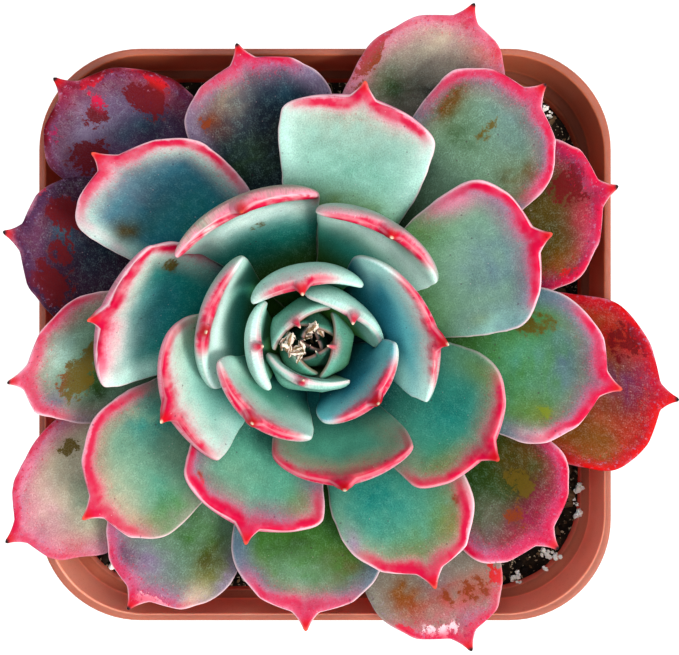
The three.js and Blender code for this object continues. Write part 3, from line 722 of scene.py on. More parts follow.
def press_down(shape, younger, clearance=0.12, depth=6.0, passes=6):
    """Bends a leaf down where younger leaves lie on it, so that no two share a place."""
    rings, above, upper = shape["rings"], shape["above"], shape["upper"]
    count = rings.shape[1]
    lowest, highest = rings.min((0, 1)), rings.max((0, 1))
    near = [tree for tree, low, high in younger if np.all(low < highest) and np.all(high > lowest)]
    sink = np.zeros(rings.shape[:2])
    columns = [j for j in range(count) if upper[j]]
    for i in range(len(rings)):
        direction = Vector(above[i])
        for j in columns:
            start = Vector(rings[i, j] - above[i] * depth)
            for tree in near:
                place, normal, _, distance = tree.ray_cast(start, direction, depth + clearance)
                if place is not None:
                    sink[i, j] = max(sink[i, j], depth + clearance - distance)
    mirrored = (-np.arange(count)) % count
    sink = np.maximum(sink, sink[:, mirrored])
    eased = sink.copy()
    for _ in range(passes):
        padded = np.pad(eased, ((1, 1), (0, 0)), mode="edge")
        mean = (padded[:-2] + 2 * eased + padded[2:]) / 4
        mean = (np.roll(mean, 1, 1) + 2 * mean + np.roll(mean, -1, 1)) / 4
        eased = np.maximum(sink, mean)
    eased = np.maximum(eased, eased[:, mirrored])
    rings -= above[:, None] * eased[..., None]
    shape["tip"] = shape["tip"] - above[-1] * eased[-1].max()


def leaf_tree(shape):
    """A search tree of a leaf's surface with the corners of its box, for pressing older ones."""
    points, faces = loft(shape["rings"], shape["tip"])
    polygons = [list(map(int, face)) for block in faces for face in block]
    return BVHTree.FromPolygons(points.tolist(), polygons), points.min(0), points.max(0)


# The leaf colours


def leaf_colours(shape, look, age, line_pigment, halo_pigment):
    """Ground and stain colours and the other values that a leaf's material reads."""
    (base, middle, outer), (left_red, left_run, right_red, right_run), soft_marks, ragged_marks = look
    share, across, edge = shape["share"], shape["across"], shape["edge"]
    upper = shape["upper"][None, :] & np.ones(share.shape, bool)
    from_tip = np.hypot(shape["length"] * (1 - share), across * shape["half"])

    def mix(colours, pigment, weight):
        weight = np.clip(weight, 0, 1)[..., None]
        paint = PAINT[pigment] if isinstance(pigment, str) else pigment
        return colours * (1 - weight) + paint * weight

    front = mix(np.zeros(share.shape + (3,)), base, np.ones(share.shape))
    front = mix(front, middle, smooth(0.25, 0.62, share))
    reach = along(BLOOM_REACH, age)
    front = mix(front, outer, smooth(reach, 0.25 * reach, edge) * smooth(0.4, 0.7, share))
    front = mix(front, outer, 0.6 * smooth(0.74, 0.95, share))
    grain = np.stack([share * shape["length"], across * shape["half"]], -1)
    patchy = 1 + 0.5 * noise(grain, 1.7, shape["seed"]) + 0.35 * noise(grain, 0.7, shape["seed"] + 1)
    patchy = 1 + (patchy - 1) * smooth(0.25, 0.6, age)

    def weight_of(at_share, at_across, reach_share, reach_across, strength):
        fall = ((share - at_share) / reach_share) ** 2 + ((across - at_across) / reach_across) ** 2
        return strength * np.exp(-fall) * patchy

    for pigment, *mark in soft_marks:
        front = mix(front, pigment, weight_of(*mark))
    stain = np.zeros(share.shape + (3,))
    stain_amount = np.zeros(share.shape)
    stain_weight = np.full(share.shape, 1e-9)
    for pigment, *mark in ragged_marks:
        weight = weight_of(*mark)
        stain += PAINT[pigment] * weight[..., None] ** 3
        stain_weight += weight**3
        stain_amount = np.maximum(stain_amount, weight)

    from_side = smooth(-2.5, 2.5, across * shape["half"])
    red = right_red + (left_red - right_red) * from_side
    run = right_run + (left_run - right_run) * from_side
    flush = np.clip(red * smooth(run * 1.15, run * 0.4, from_tip), 0, 1.2)
    front = mix(front, "coral", 0.2 * flush * smooth(5.5, 2.5, edge) * smooth(1.0, 2.2, edge))
    front = mix(front, "crimson", 0.5 * np.maximum(red, 0.3) * smooth(4.5, 1.5, from_tip))

    back_inner = blend_by_age(BACK_INNER, age)
    back_outer = blend_by_age(BACK_OUTER, age)
    back = mix(np.zeros(share.shape + (3,)), back_inner, np.ones(share.shape))
    back = mix(back, back_outer, smooth(0.4, 0.85, share))
    back = mix(back, "blush", 0.4 * flush * smooth(-1.8, -0.4, edge))
    spot = smooth(0.16, 0.08, age) * smooth(-0.09, -0.02, age)
    back = mix(back, "rose", 0.7 * spot * smooth(3.2, 0.8, from_tip))
    back = mix(back, "crimson", 0.9 * spot * smooth(1.7, 0.5, from_tip))

    ground = np.where(upper[..., None], front, back)
    near_tip = 1 + 0.9 * smooth(9, 2, from_tip)
    shadow = along(BASE_SHADE, age)
    shadow = shadow + (1 - shadow) * smooth(0.15, 0.6, share)
    return {
        "ground": ground * shadow[..., None] * along(DEPTH_OF_TONE, age),
        "stain": stain / stain_weight[..., None],
        "stain_amount": stain_amount * upper,
        "edge": edge,
        "red_line": (edge - along(RED_LINE_AT, age)) / along(RED_LINE_WIDTH, age) / near_tip,
        "rim": along(PALE_RIM, age) * smooth(0.42, 0.1, np.abs(edge)) * (line_pigment == "crimson"),
        "line_colour": np.broadcast_to(PAINT[line_pigment], share.shape + (3,)),
        "halo_colour": np.broadcast_to(PAINT[halo_pigment], share.shape + (3,)),
        "flush": flush,
        "thorn": smooth(2.4, 0.8, from_tip) * (0.35 + 0.65 * smooth(0, 0.5, red)) * smooth(-0.12, 0, age),
        "dry_tip": smooth(0.4 + 0.5 * age, 0.1 + 0.25 * age, from_tip),
        "back": 1.0 - upper,
        "age": np.full(share.shape, age),
    }


# Materials


class Shader:
    """One node material, with short ways to add what its textures are made of."""

    def __init__(self, name, **surface):
        self.material = bpy.data.materials.new(name)
        self.material.use_nodes = True
        self.tree = self.material.node_tree
        self.tree.nodes.clear()
        self.surface = self.tree.nodes.new("ShaderNodeBsdfPrincipled")
        output = self.tree.nodes.new("ShaderNodeOutputMaterial")
        self.tree.links.new(self.surface.outputs["BSDF"], output.inputs["Surface"])
        for key, value in surface.items():
            self.surface.inputs[key.replace("_", " ")].default_value = value

    def put(self, socket, value):
        if isinstance(value, bpy.types.NodeSocket):
            self.tree.links.new(value, socket)
        elif hasattr(value, "__len__") and len(value) == 3 and socket.type == "RGBA":
            socket.default_value = (*value, 1)
        else:
            socket.default_value = value

    def read(self, name, output="Fac"):
        node = self.tree.nodes.new("ShaderNodeAttribute")
        node.attribute_name = name
        return node.outputs[output]

    def place(self):
        return self.tree.nodes.new("ShaderNodeTexCoord").outputs["Object"]

    def part_of(self, vector, axis):
        node = self.tree.nodes.new("ShaderNodeSeparateXYZ")
        self.put(node.inputs["Vector"], vector)
        return node.outputs[axis]

    def facing_out(self):
        """Above 0 where the surface faces away from the piece's axis, below 0 where it faces it."""
        at = self.tree.nodes.new("ShaderNodeTexCoord")
        node = self.tree.nodes.new("ShaderNodeVectorMath")
        node.operation = "DOT_PRODUCT"
        self.put(node.inputs[0], self.stretch(at.outputs["Object"], (1, 1, 0)))
        self.put(node.inputs[1], at.outputs["Normal"])
        return node.outputs["Value"]

    def stretch(self, vector, scale):
        node = self.tree.nodes.new("ShaderNodeMapping")
        node.inputs["Scale"].default_value = scale
        self.put(node.inputs["Vector"], vector)
        return node.outputs["Vector"]

    def noise(self, vector, scale, detail=2.0, roughness=0.5):
        node = self.tree.nodes.new("ShaderNodeTexNoise")
        self.put(node.inputs["Vector"], vector)
        node.inputs["Scale"].default_value = scale
        node.inputs["Detail"].default_value = detail
        node.inputs["Roughness"].default_value = roughness
        return node.outputs["Fac"]

    def cells(self, vector, scale, output="Distance"):
        node = self.tree.nodes.new("ShaderNodeTexVoronoi")
        self.put(node.inputs["Vector"], vector)
        node.inputs["Scale"].default_value = scale
        return node.outputs[output]

    def maths(self, operation, a, b):
        node = self.tree.nodes.new("ShaderNodeMath")
        node.operation = operation
        self.put(node.inputs[0], a)
        self.put(node.inputs[1], b)
        return node.outputs[0]

    def times(self, *values):
        result = values[0]
        for value in values[1:]:
            result = self.maths("MULTIPLY", result, value)
        return result

    def ramp(self, value, low, high, start=0.0, end=1.0):
        """start below low, end above high, smooth between; low may be the greater of the two."""
        node = self.tree.nodes.new("ShaderNodeMapRange")
        node.interpolation_type = "SMOOTHSTEP"
        self.put(node.inputs["Value"], value)
        if low > high:
            low, high, start, end = high, low, end, start
        for key, number in (("From Min", low), ("From Max", high), ("To Min", start), ("To Max", end)):
            node.inputs[key].default_value = number
        return node.outputs["Result"]

    def mix(self, factor, a, b, blend="MIX"):
        node = self.tree.nodes.new("ShaderNodeMix")
        node.data_type = "RGBA"
        node.blend_type = blend
        self.put(node.inputs["Factor"], factor)
        self.put(node.inputs[6], a)
        self.put(node.inputs[7], b)
        return node.outputs[2]

    def bump(self, height, distance, strength):
        node = self.tree.nodes.new("ShaderNodeBump")
        node.inputs["Strength"].default_value = strength
        node.inputs["Distance"].default_value = distance
        self.put(node.inputs["Height"], height)
        return node.outputs["Normal"]

    def finish(self, colour, roughness=None, normal=None):
        self.put(self.surface.inputs["Base Color"], colour)
        if roughness is not None:
            self.put(self.surface.inputs["Roughness"], roughness)
        if normal is not None:
            self.put(self.surface.inputs["Normal"], normal)
        return self.material


def leaf_skin(name, bloom, tip_colour):
    """A waxy leaf: washes of pigment under a grainy bloom, ragged stains, a pale edge with a red
    line inside it, specks and a dry tip. bloom is how strongly the pale wax shows."""
    s = Shader(
        name,
        Specular_IOR_Level=0.1,
        Subsurface_Weight=0.06,
        Subsurface_Scale=0.001,
    )
    s.surface.inputs["Subsurface Radius"].default_value = (1.0, 0.55, 0.35)
    cell = s.read("cell", "Vector")
    flush, red_line, edge, age = s.read("flush"), s.read("red_line"), s.read("edge"), s.read("age")
    line_colour = s.read("line_colour", "Color")
    old = s.ramp(age, 0.45, 0.85)
    blotch = s.noise(cell, 0.24, 3, 0.55)
    medium = s.noise(cell, 0.9, 4, 0.65)
    fine = s.noise(cell, 4.2, 3, 0.7)

    # Ground, uneven in tone, under patches of pale bloom
    colour = s.read("ground", "Color")
    colour = s.mix(s.ramp(blotch, 0.42, 0.7, 0, 0.35), colour, (0.5, 0.56, 0.55), "MULTIPLY")
    wax = s.times(s.ramp(medium, 0.42, 0.66), s.ramp(fine, 0.35, 0.6), bloom)
    colour = s.mix(s.times(wax, 2.2), colour, (1.5, 1.5, 1.5), "MULTIPLY")
    colour = s.mix(s.times(wax, 0.6), colour, PAINT["ice"])
    frost = s.times(s.ramp(fine, 0.55, 0.67), s.ramp(blotch, 0.3, 0.6, 0.4, 1.0), bloom)
    colour = s.mix(s.times(frost, 0.8), colour, PAINT["ice"])
    colour = s.mix(s.ramp(fine, 0.56, 0.36, 0, 0.4), colour, (0.5, 0.52, 0.55), "MULTIPLY")

    # Ragged stains, with flecks of skin left free
    rough = s.maths("ADD", s.times(blotch, 1.2), s.times(medium, 3.0))
    rough = s.maths("ADD", rough, s.times(fine, 1.0))
    stained = s.maths("ADD", s.read("stain_amount"), s.maths("SUBTRACT", rough, 2.6))
    stained = s.mix(old, s.ramp(stained, 0.15, 0.95), s.ramp(stained, 0.4, 0.62))
    stained = s.times(stained, s.ramp(fine, 0.3, 0.6, 0.7, 0.97))
    stained = s.times(stained, s.ramp(s.read("stain_amount"), 0.1, 0.35))
    colour = s.mix(stained, colour, s.read("stain", "Color"))

    # The margin: a red line that swells and thins, a soft halo inside it and pink outside it
    broad = s.noise(cell, 0.16, 2, 0.5)
    uneven = s.ramp(s.noise(cell, 0.3, 2, 0.5), 0.36, 0.56, 0.7, 1.0)
    uneven = s.times(uneven, s.mix(old, (1, 1, 1), s.ramp(broad, 0.4, 0.56, 0.35, 1.0)))
    wander = s.times(s.maths("SUBTRACT", medium, 0.5), 1.5)
    sweep = s.times(s.maths("SUBTRACT", broad, 0.5), 3.5, s.ramp(age, 0.2, 0.5))
    line = s.maths("ADD", red_line, s.maths("ADD", wander, sweep))
    strength = s.ramp(flush, 0.0, 0.75)
    halo = s.times(s.ramp(line, 4.4, 0.4), strength, s.ramp(fine, 0.3, 0.62, 0.34, 0.74))
    halo = s.times(halo, s.ramp(age, 0.1, 0.5, 0.5, 0.85), s.ramp(age, 0.98, 0.7, 0.6, 1.0))
    halo = s.times(halo, s.ramp(line, -4.5, -0.8))
    colour = s.mix(halo, colour, s.read("halo_colour", "Color"))
    pink = s.times(s.ramp(line, 0.2, -1.2), strength, s.ramp(edge, -0.9, -0.1, 0, 0.6))
    colour = s.mix(pink, colour, PAINT["blush"])
    core = s.times(s.ramp(line, -1.5, -0.5), s.ramp(line, 2.4, 0.2), s.ramp(flush, 0.15, 0.75), uneven)
    colour = s.mix(core, colour, line_colour)
    speckle = s.noise(cell, 2.0, 3, 0.65)
    near = s.times(s.ramp(line, 9.0, 1.5), strength)
    freckle = s.times(s.ramp(speckle, 0.56, 0.66), near, s.maths("ADD", s.times(old, 0.5), 0.3))
    colour = s.mix(freckle, colour, line_colour)
    dark_fleck = s.ramp(s.noise(cell, 1.5, 2, 0.6), 0.62, 0.7)
    dark_fleck = s.times(dark_fleck, s.ramp(line, 3.0, 0.8), strength, old)
    colour = s.mix(s.times(dark_fleck, 0.5), colour, PAINT["wine"])
    scurf = s.times(s.ramp(s.noise(cell, 1.3, 4, 0.75), 0.55, 0.66), s.ramp(edge, 3.5, 0.5), old)
    colour = s.mix(s.times(scurf, 0.5), colour, PAINT["lilac"])
    colour = s.mix(s.read("rim"), colour, PAINT["shell"])
    colour = s.mix(s.times(s.read("thorn"), 0.8), colour, PAINT["scarlet"])
    colour = s.mix(s.read("dry_tip"), colour, tip_colour)

    # Dark pores and pale dust
    pores = s.times(s.ramp(s.cells(cell, 1.0), 0.2, 0.1), s.ramp(s.cells(cell, 1.0, "Color"), 0.74, 0.84))
    colour = s.mix(s.times(pores, 0.5), colour, PAINT["plum"])
    dust = s.times(s.ramp(s.cells(cell, 1.6), 0.2, 0.08), s.ramp(s.cells(cell, 1.6, "Color"), 0.8, 0.9))
    colour = s.mix(s.times(dust, 0.25), colour, PAINT["shell"])

    roughness = s.maths("ADD", s.times(fine, 0.2), s.times(blotch, 0.15))
    roughness = s.maths("ADD", roughness, 0.3)
    relief = s.maths("ADD", s.times(fine, 0.4), s.times(medium, 1.0))
    normal = s.bump(relief, 0.0001, 0.5)
    return s.finish(colour, roughness, normal)


def pot_plastic():
    """Matte moulded terracotta-coloured plastic with faint flow marks and dust. Painted light makes
    the inner walls lighter than the outside, more so on the south side, and painted shade makes the
    faces that look up below the collar darker.
    """
    s = Shader("pot_plastic", Specular_IOR_Level=0.3, Subsurface_Weight=0.5, Subsurface_Scale=0.004)
    s.surface.inputs["Subsurface Radius"].default_value = (1.0, 0.4, 0.25)
    at = s.place()
    cloud = s.noise(at, 45, 4, 0.6)
    flow = s.noise(s.stretch(at, (1, 1, 2)), 60, 3, 0.5)
    grain = s.noise(at, 2600, 2, 0.6)
    # Painted light: faces that look in towards the pot's middle take the lighter wall colour, the outside a
    # darker one.
    painted_light_inside = s.ramp(s.facing_out(), -0.004, -0.03)
    # Painted light: the south side of the pot takes lighter copies of the wall and ledge colours.
    painted_light_south = s.ramp(s.part_of(at, "Y"), 0.015, -0.02)
    wall = s.mix(painted_light_south, linear((172, 100, 72)), linear((236, 156, 132)))
    # Painted shade: a darker copy of the plastic for the faces that look up below the collar, such as the
    # ledge inside it.
    painted_shade_ledge = s.mix(painted_light_south, linear((118, 66, 48)), linear((170, 98, 76)))
    colour = s.mix(painted_light_inside, linear((150, 90, 72)), wall)
    facing_up = s.part_of(s.tree.nodes.new("ShaderNodeNewGeometry").outputs["Normal"], "Z")
    level = s.times(facing_up, s.ramp(s.part_of(at, "Z"), 0.076, 0.072))
    colour = s.mix(s.ramp(level, 0.3, 0.7), colour, painted_shade_ledge)
    colour = s.mix(s.ramp(cloud, 0.35, 0.7, 0, 0.5), colour, (1.25, 1.3, 1.35), "MULTIPLY")
    colour = s.mix(s.ramp(flow, 0.45, 0.75, 0, 0.12), colour, linear((228, 152, 128)))
    colour = s.mix(s.ramp(grain, 0.55, 0.75, 0, 0.3), colour, (0.6, 0.5, 0.5), "MULTIPLY")
    roughness = s.ramp(cloud, 0.3, 0.7, 0.42, 0.56)
    return s.finish(colour, roughness, s.bump(grain, 0.00004, 0.5))


def soil_mix():
    """Damp dark potting mix."""
    s = Shader("soil_mix", Specular_IOR_Level=0.2)
    at = s.place()
    clods = s.noise(at, 420, 5, 0.7)
    specks = s.noise(at, 1500, 2, 0.6)
    colour = s.mix(s.ramp(clods, 0.35, 0.7), linear((12, 9, 7)), linear((50, 38, 27)))
    colour = s.mix(s.ramp(specks, 0.6, 0.68, 0, 0.8), colour, linear((190, 172, 146)))
    return s.finish(colour, 0.92, s.bump(clods, 0.0006, 0.8))


def crumb_mix():
    """Bark and peat crumbs, each its own brown."""
    s = Shader("crumb_mix", Specular_IOR_Level=0.25)
    at = s.place()
    tone = s.read("tone")
    colour = s.mix(s.ramp(tone, 0.1, 0.95), linear((20, 15, 12)), linear((124, 98, 72)))
    colour = s.mix(s.ramp(s.noise(at, 1900, 2, 0.6), 0.45, 0.75, 0, 0.5), colour, linear((40, 30, 22)))
    return s.finish(colour, 0.85, s.bump(s.noise(at, 2600, 2, 0.6), 0.00015, 0.7))


def perlite():
    """White porous grains, a little dirty."""
    s = Shader("perlite", Specular_IOR_Level=0.3, Subsurface_Weight=0.1, Subsurface_Scale=0.0006)
    at = s.place()
    pits = s.cells(at, 2600)
    dirt = s.noise(at, 900, 3, 0.6)
    colour = s.mix(s.ramp(dirt, 0.55, 0.8, 0, 0.35), linear((252, 248, 240)), linear((170, 148, 116)))
    return s.finish(colour, 0.8, s.bump(pits, 0.0002, 0.8))


def root_fibre():
    """Pale brown fibres of peat and root."""
    s = Shader("root_fibre", Specular_IOR_Level=0.3)
    tone = s.read("tone")
    colour = s.mix(s.ramp(tone, 0.0, 1.0), linear((92, 70, 44)), linear((196, 176, 140)))
    colour = s.mix(s.ramp(s.noise(s.place(), 1600, 2, 0.6), 0.4, 0.7, 0, 0.4), colour, linear((70, 52, 34)))
    return s.finish(colour, 0.7)


def stem_bark():
    """The short green-brown stem with the pale scars of fallen leaves."""
    s = Shader("stem_bark", Specular_IOR_Level=0.3)
    at = s.place()
    band = s.noise(s.stretch(at, (1, 1, 3)), 260, 3, 0.6)
    colour = s.mix(s.ramp(band, 0.35, 0.65), linear((116, 104, 66)), linear((166, 146, 104)))
    colour = s.mix(s.ramp(s.noise(at, 900, 3, 0.6), 0.55, 0.7, 0, 0.6), colour, linear((84, 62, 42)))
    return s.finish(colour, 0.75, s.bump(band, 0.0004, 0.8))


def dry_paper():
    """Dried bracts in the heart: thin, cream at the edges, tan in the middle."""
    s = Shader("dry_paper", Specular_IOR_Level=0.3)
    at = s.place()
    middle = s.read("middle")
    wrinkles = s.noise(at, 1800, 3, 0.7)
    colour = s.mix(s.ramp(middle, 0.35, 0.8), linear((236, 226, 210)), linear((116, 100, 62)))
    colour = s.mix(s.ramp(wrinkles, 0.45, 0.7, 0, 0.5), colour, linear((214, 158, 150)))
    return s.finish(colour, 0.7, s.bump(wrinkles, 0.0003, 0.7))


# Pot


def body_half(z):
    """Outer half-width of the tapered body under the collar."""
    return FOOT_HALF + (BODY_TOP_HALF - FOOT_HALF) * z / STEP_HEIGHT


def corner_for(half):
    """Radius of the rounded corners where the pot has that half-width."""
    return RIM_CORNER * half / RIM_HALF


def square_ring(half, z, steps=18, between=14):
    flat = rounded_square(half, corner_for(half), steps, between)
    return np.concatenate([flat, np.full((len(flat), 1), z)], axis=1)


def apply_modifiers(piece):
    """Makes the piece's modifiers part of its mesh."""
    graph = bpy.context.evaluated_depsgraph_get()
    mesh = bpy.data.meshes.new_from_object(piece.evaluated_get(graph))
    piece.modifiers.clear()
    piece.data = mesh


def drain_boxes():
    """Two boxes through the foot of each wall, as points and faces."""
    boxes = []
    for side in range(4):
        turn = side * math.pi / 2
        spin = np.array([[math.cos(turn), math.sin(turn)], [-math.sin(turn), math.cos(turn)]])
        for offset in (-DRAIN_OFFSET, DRAIN_OFFSET):
            ring = np.array([[-1, -1], [1, -1], [1, 1], [-1, 1]]) * [DRAIN_WIDTH / 2, DRAIN_REACH]
            ring = (ring + [offset, -FOOT_HALF]) @ spin
            rows = [np.concatenate([ring, np.full((4, 1), z)], axis=1) for z in (-DRAIN_HEIGHT, DRAIN_HEIGHT)]
            boxes.append(loft(np.array(rows)))
    return joined(boxes)


def make_pot():
    inner_floor = BASE_THICKNESS + 1.5
    corners = [
        (FOOT_HALF - 6, 0, 0),
        (FOOT_HALF - 0.2, 0, 1.3),
        (body_half(3), 3, 0.6),
        (body_half(STEP_HEIGHT - 1.5), STEP_HEIGHT - 1.5, 0.5),
        (BODY_TOP_HALF + STEP, STEP_HEIGHT - 0.3, 0.5),
        (RIM_HALF - 0.5, POT_HEIGHT - 3, 0.4),
        (RIM_HALF, POT_HEIGHT - 2.2, 0.4),
        (RIM_HALF, POT_HEIGHT, 0.4),
        (RIM_HALF - WALL, POT_HEIGHT, 0.35),
        (RIM_HALF - COLLAR_DRAFT - WALL, STEP_HEIGHT + 0.8, 0.5),
        (BODY_TOP_HALF - WALL, STEP_HEIGHT - 0.1, 0.5),
        (body_half(inner_floor) - WALL, inner_floor, 0.8),
        (body_half(BASE_THICKNESS) - WALL - 1.5, BASE_THICKNESS, 0.8),
        (body_half(BASE_THICKNESS) - WALL - 8, BASE_THICKNESS, 0),
    ]
    profile = rounded_profile(corners)
    points, faces = loft(np.array([square_ring(half, z) for half, z in profile]))
    pot = make_piece("pot_shell", points, faces, pot_plastic(), replaces=["pot"])
    cutter_points, cutter_faces = drain_boxes()
    cutter = make_piece("drain_cutter", cutter_points, cutter_faces, pot.data.materials[0])
    cut = pot.modifiers.new("drains", "BOOLEAN")
    cut.operation = "DIFFERENCE"
    cut.solver = "MANIFOLD"
    cut.object = cutter
    apply_modifiers(pot)
    bpy.data.objects.remove(cutter)
    pot.data.set_sharp_from_angle(angle=40 * DEGREE)


# Soil


def soil_height(x, y):
    """Height of the soil's surface, as in the solids."""
    coarse = np.sin(x * 0.31 + 1.7) * np.sin(y * 0.27 + 0.4)
    fine = np.sin(x * 0.83 + y * 0.61) * np.cos(y * 0.74 - x * 0.35)
    return SOIL_TOP + SOIL_RELIEF * (0.6 * coarse + 0.4 * fine)


def make_soil():
    def side(z, inset):
        return square_ring(body_half(z) - WALL - GAP - inset, z, 20, 20)

    floor = BASE_THICKNESS + GAP
    rings = [side(floor, 1.5), side(floor + 1.5, 0), side(30, 0), side(SOIL_TOP - 1.6, 0)]
    for share in np.concatenate([[1.0, 0.995], np.linspace(0.985, 0.1, 58)]):
        ring = side(SOIL_TOP - 1.5, 0) * [share, share, 1]
        x, y = ring[:, 0], ring[:, 1]
        rough = 0.35 * noise(ring[:, :2], 1.7, 5) + 0.2 * noise(ring[:, :2], 0.8, 6)
        ring[:, 2] = soil_height(x, y) + rough - 0.5 * smooth(0.96, 1, share)
        rings.append(ring)
    points, faces = loft(np.array(rings))
    make_piece("soil_bed", points, faces, soil_mix(), replaces=["soil"])


def ball(level):
    """Points on a sphere and their triangles, from an icosahedron split level times."""
    g = (1 + 5**0.5) / 2
    points = [(-1, g, 0), (1, g, 0), (-1, -g, 0), (1, -g, 0), (0, -1, g), (0, 1, g)]
    points += [(0, -1, -g), (0, 1, -g), (g, 0, -1), (g, 0, 1), (-g, 0, -1), (-g, 0, 1)]
    faces = [(0, 11, 5), (0, 5, 1), (0, 1, 7), (0, 7, 10), (0, 10, 11), (1, 5, 9), (5, 11, 4), (11, 10, 2)]
    faces += [(10, 7, 6), (7, 1, 8), (3, 9, 4), (3, 4, 2), (3, 2, 6), (3, 6, 8), (3, 8, 9), (4, 9, 5)]
    faces += [(2, 4, 11), (6, 2, 10), (8, 6, 7), (9, 8, 1)]
    points = [np.array(p) / np.linalg.norm(p) for p in points]
    for _ in range(level):
        halves, split = {}, []
        for a, b, c in faces:
            mids = []
            for pair in ((a, b), (b, c), (c, a)):
                key = tuple(sorted(pair))
                if key not in halves:
                    middle = points[key[0]] + points[key[1]]
                    halves[key] = len(points)
                    points.append(middle / np.linalg.norm(middle))
                mids.append(halves[key])
            split += [(a, mids[0], mids[2]), (b, mids[1], mids[0]), (c, mids[2], mids[1]), tuple(mids)]
        faces = split
    return np.array(points), np.array(faces)


def spins(rng, count):
    """Random rotation matrices."""
    q = rng.normal(size=(count, 4))
    w, x, y, z = (q / np.linalg.norm(q, axis=1)[:, None]).T
    rows = [
        [1 - 2 * (y * y + z * z), 2 * (x * y - z * w), 2 * (x * z + y * w)],
        [2 * (x * y + z * w), 1 - 2 * (x * x + z * z), 2 * (y * z - x * w)],
        [2 * (x * z - y * w), 2 * (y * z + x * w), 1 - 2 * (x * x + y * y)],
    ]
    return np.moveaxis(np.array(rows), 2, 0)


def places_on_soil(rng, count, inset):
    """Random places on the soil, clear of the pot's wall and of the stem."""
    limit = body_half(SOIL_TOP) - WALL - GAP - inset
    corner = corner_for(limit)
    spots = rng.uniform(-limit, limit, (count * 3, 2))
    over = np.maximum(np.abs(spots) - (limit - corner), 0)
    spots = spots[np.hypot(over[:, 0], over[:, 1]) < corner]
    spots = spots[np.hypot(spots[:, 0] - PLANT[0], spots[:, 1] - PLANT[1]) > CLEAR_OF_STEM]
    return spots[:count]


def lumps(rng, spots, radii, level, stretch, roughness, sink):
    """Rough grains of given radii on the soil at given spots, as points, faces and a tone each."""
    shape, faces = ball(level)
    count = len(spots)
    turn = spins(rng, count)
    scale = radii[:, None] * rng.uniform(1 - stretch, 1 + stretch, (count, 3))
    bumps = 1 + roughness * rng.uniform(-1, 1, (count, len(shape)))
    body = shape[None] * bumps[..., None] * scale[:, None, :]
    body = np.einsum("nij,npj->npi", turn, body)
    height = soil_height(spots[:, 0], spots[:, 1]) + radii * sink
    centres = np.concatenate([spots, height[:, None]], axis=1)
    points = (body + centres[:, None]).reshape(-1, 3)
    offsets = (np.arange(count) * len(shape))[:, None, None]
    tones = np.repeat(rng.uniform(0, 1, count), len(shape))
    return points, [(faces[None] + offsets).reshape(-1, 3)], tones


# Perlite grains that show beside the leaves: place on the soil and radius
SEEN_PERLITE = [
    (41.0, -24.8, 0.9), (40.2, -26.4, 0.55), (41.3, -28.9, 0.8), (40.9, -27.6, 0.4),
    (36.0, -35.6, 0.75), (37.2, -35.9, 0.7), (35.7, -38.3, 0.45), (30.9, -39.3, 0.7), (31.5, -40.0, 0.45),
    (-34.5, -37.2, 0.8), (-33.2, -39.2, 0.5), (35.7, 36.9, 0.6), (36.6, 35.6, 0.5), (34.6, 37.8, 0.4),
]


def make_crumbs(rng):
    spots = places_on_soil(rng, 3300, 0.9)
    radii = 0.22 + 0.65 * rng.random(len(spots)) ** 2.2
    points, faces, tones = lumps(rng, spots, radii, 0, 0.45, 0.25, 0.35)
    crumbs = make_piece("bark_crumbs", points, faces, crumb_mix(), smooth_faces=False)
    set_values(crumbs, "tone", tones)


def make_perlite(rng):
    seen = np.repeat(np.array(SEEN_PERLITE), 7, axis=0)
    nearby = rng.normal(0, 0.5, (len(seen), 2)) * seen[:, 2:]
    others = places_on_soil(rng, 260, 1.4)
    spots = np.concatenate([seen[:, :2] + nearby, others])
    radii = np.concatenate([
        seen[:, 2] * rng.uniform(0.3, 0.65, len(seen)),
        0.2 + 0.5 * rng.random(len(others)) ** 2,
    ])
    points, faces, _ = lumps(rng, spots, radii, 1, 0.35, 0.22, 0.6)
    make_piece("perlite_grains", points, faces, perlite(), smooth_faces=False)


def make_fibres(rng):
    rings, sides = 7, 5
    parts, tones = [], []
    for x, y in places_on_soil(rng, 420, 3.0):
        length, heading = rng.uniform(1.5, 6), rng.uniform(0, 2 * math.pi)
        curve, radius = rng.normal(0, 0.5), rng.uniform(0.05, 0.13)
        t = np.linspace(-0.5, 0.5, rings)
        angle = heading + curve * t
        px = x + np.cumsum(np.cos(angle)) * length / rings
        py = y + np.cumsum(np.sin(angle)) * length / rings
        arch = rng.uniform(0.1, 0.7) * (1 - (2 * t) ** 2)
        pz = soil_height(px, py) + 0.25 + arch
        around = np.linspace(0, 2 * math.pi, sides + 1)[:-1]
        sideways = np.stack([-np.sin(angle), np.cos(angle), np.zeros(rings)], -1)
        width = radius * (1 - 0.7 * np.abs(2 * t))[:, None, None]
        centre = np.stack([px, py, pz], -1)[:, None]
        flat = np.cos(around)[None, :, None] * sideways[:, None]
        upright = np.sin(around)[None, :, None] * np.array([0, 0, 1])
        parts.append(loft(centre + width * (flat + upright)))
        tones.append(np.full(rings * sides + 2, rng.random()))
    points, faces = joined(parts)
    fibres = make_piece("root_fibres", points, faces, root_fibre())
    set_values(fibres, "tone", np.concatenate(tones))


def make_grit():
    """Crumbs, perlite and fibres, which share one run of random numbers."""
    rng = np.random.default_rng(41)
    make_crumbs(rng)
    make_perlite(rng)
    make_fibres(rng)


# Stem


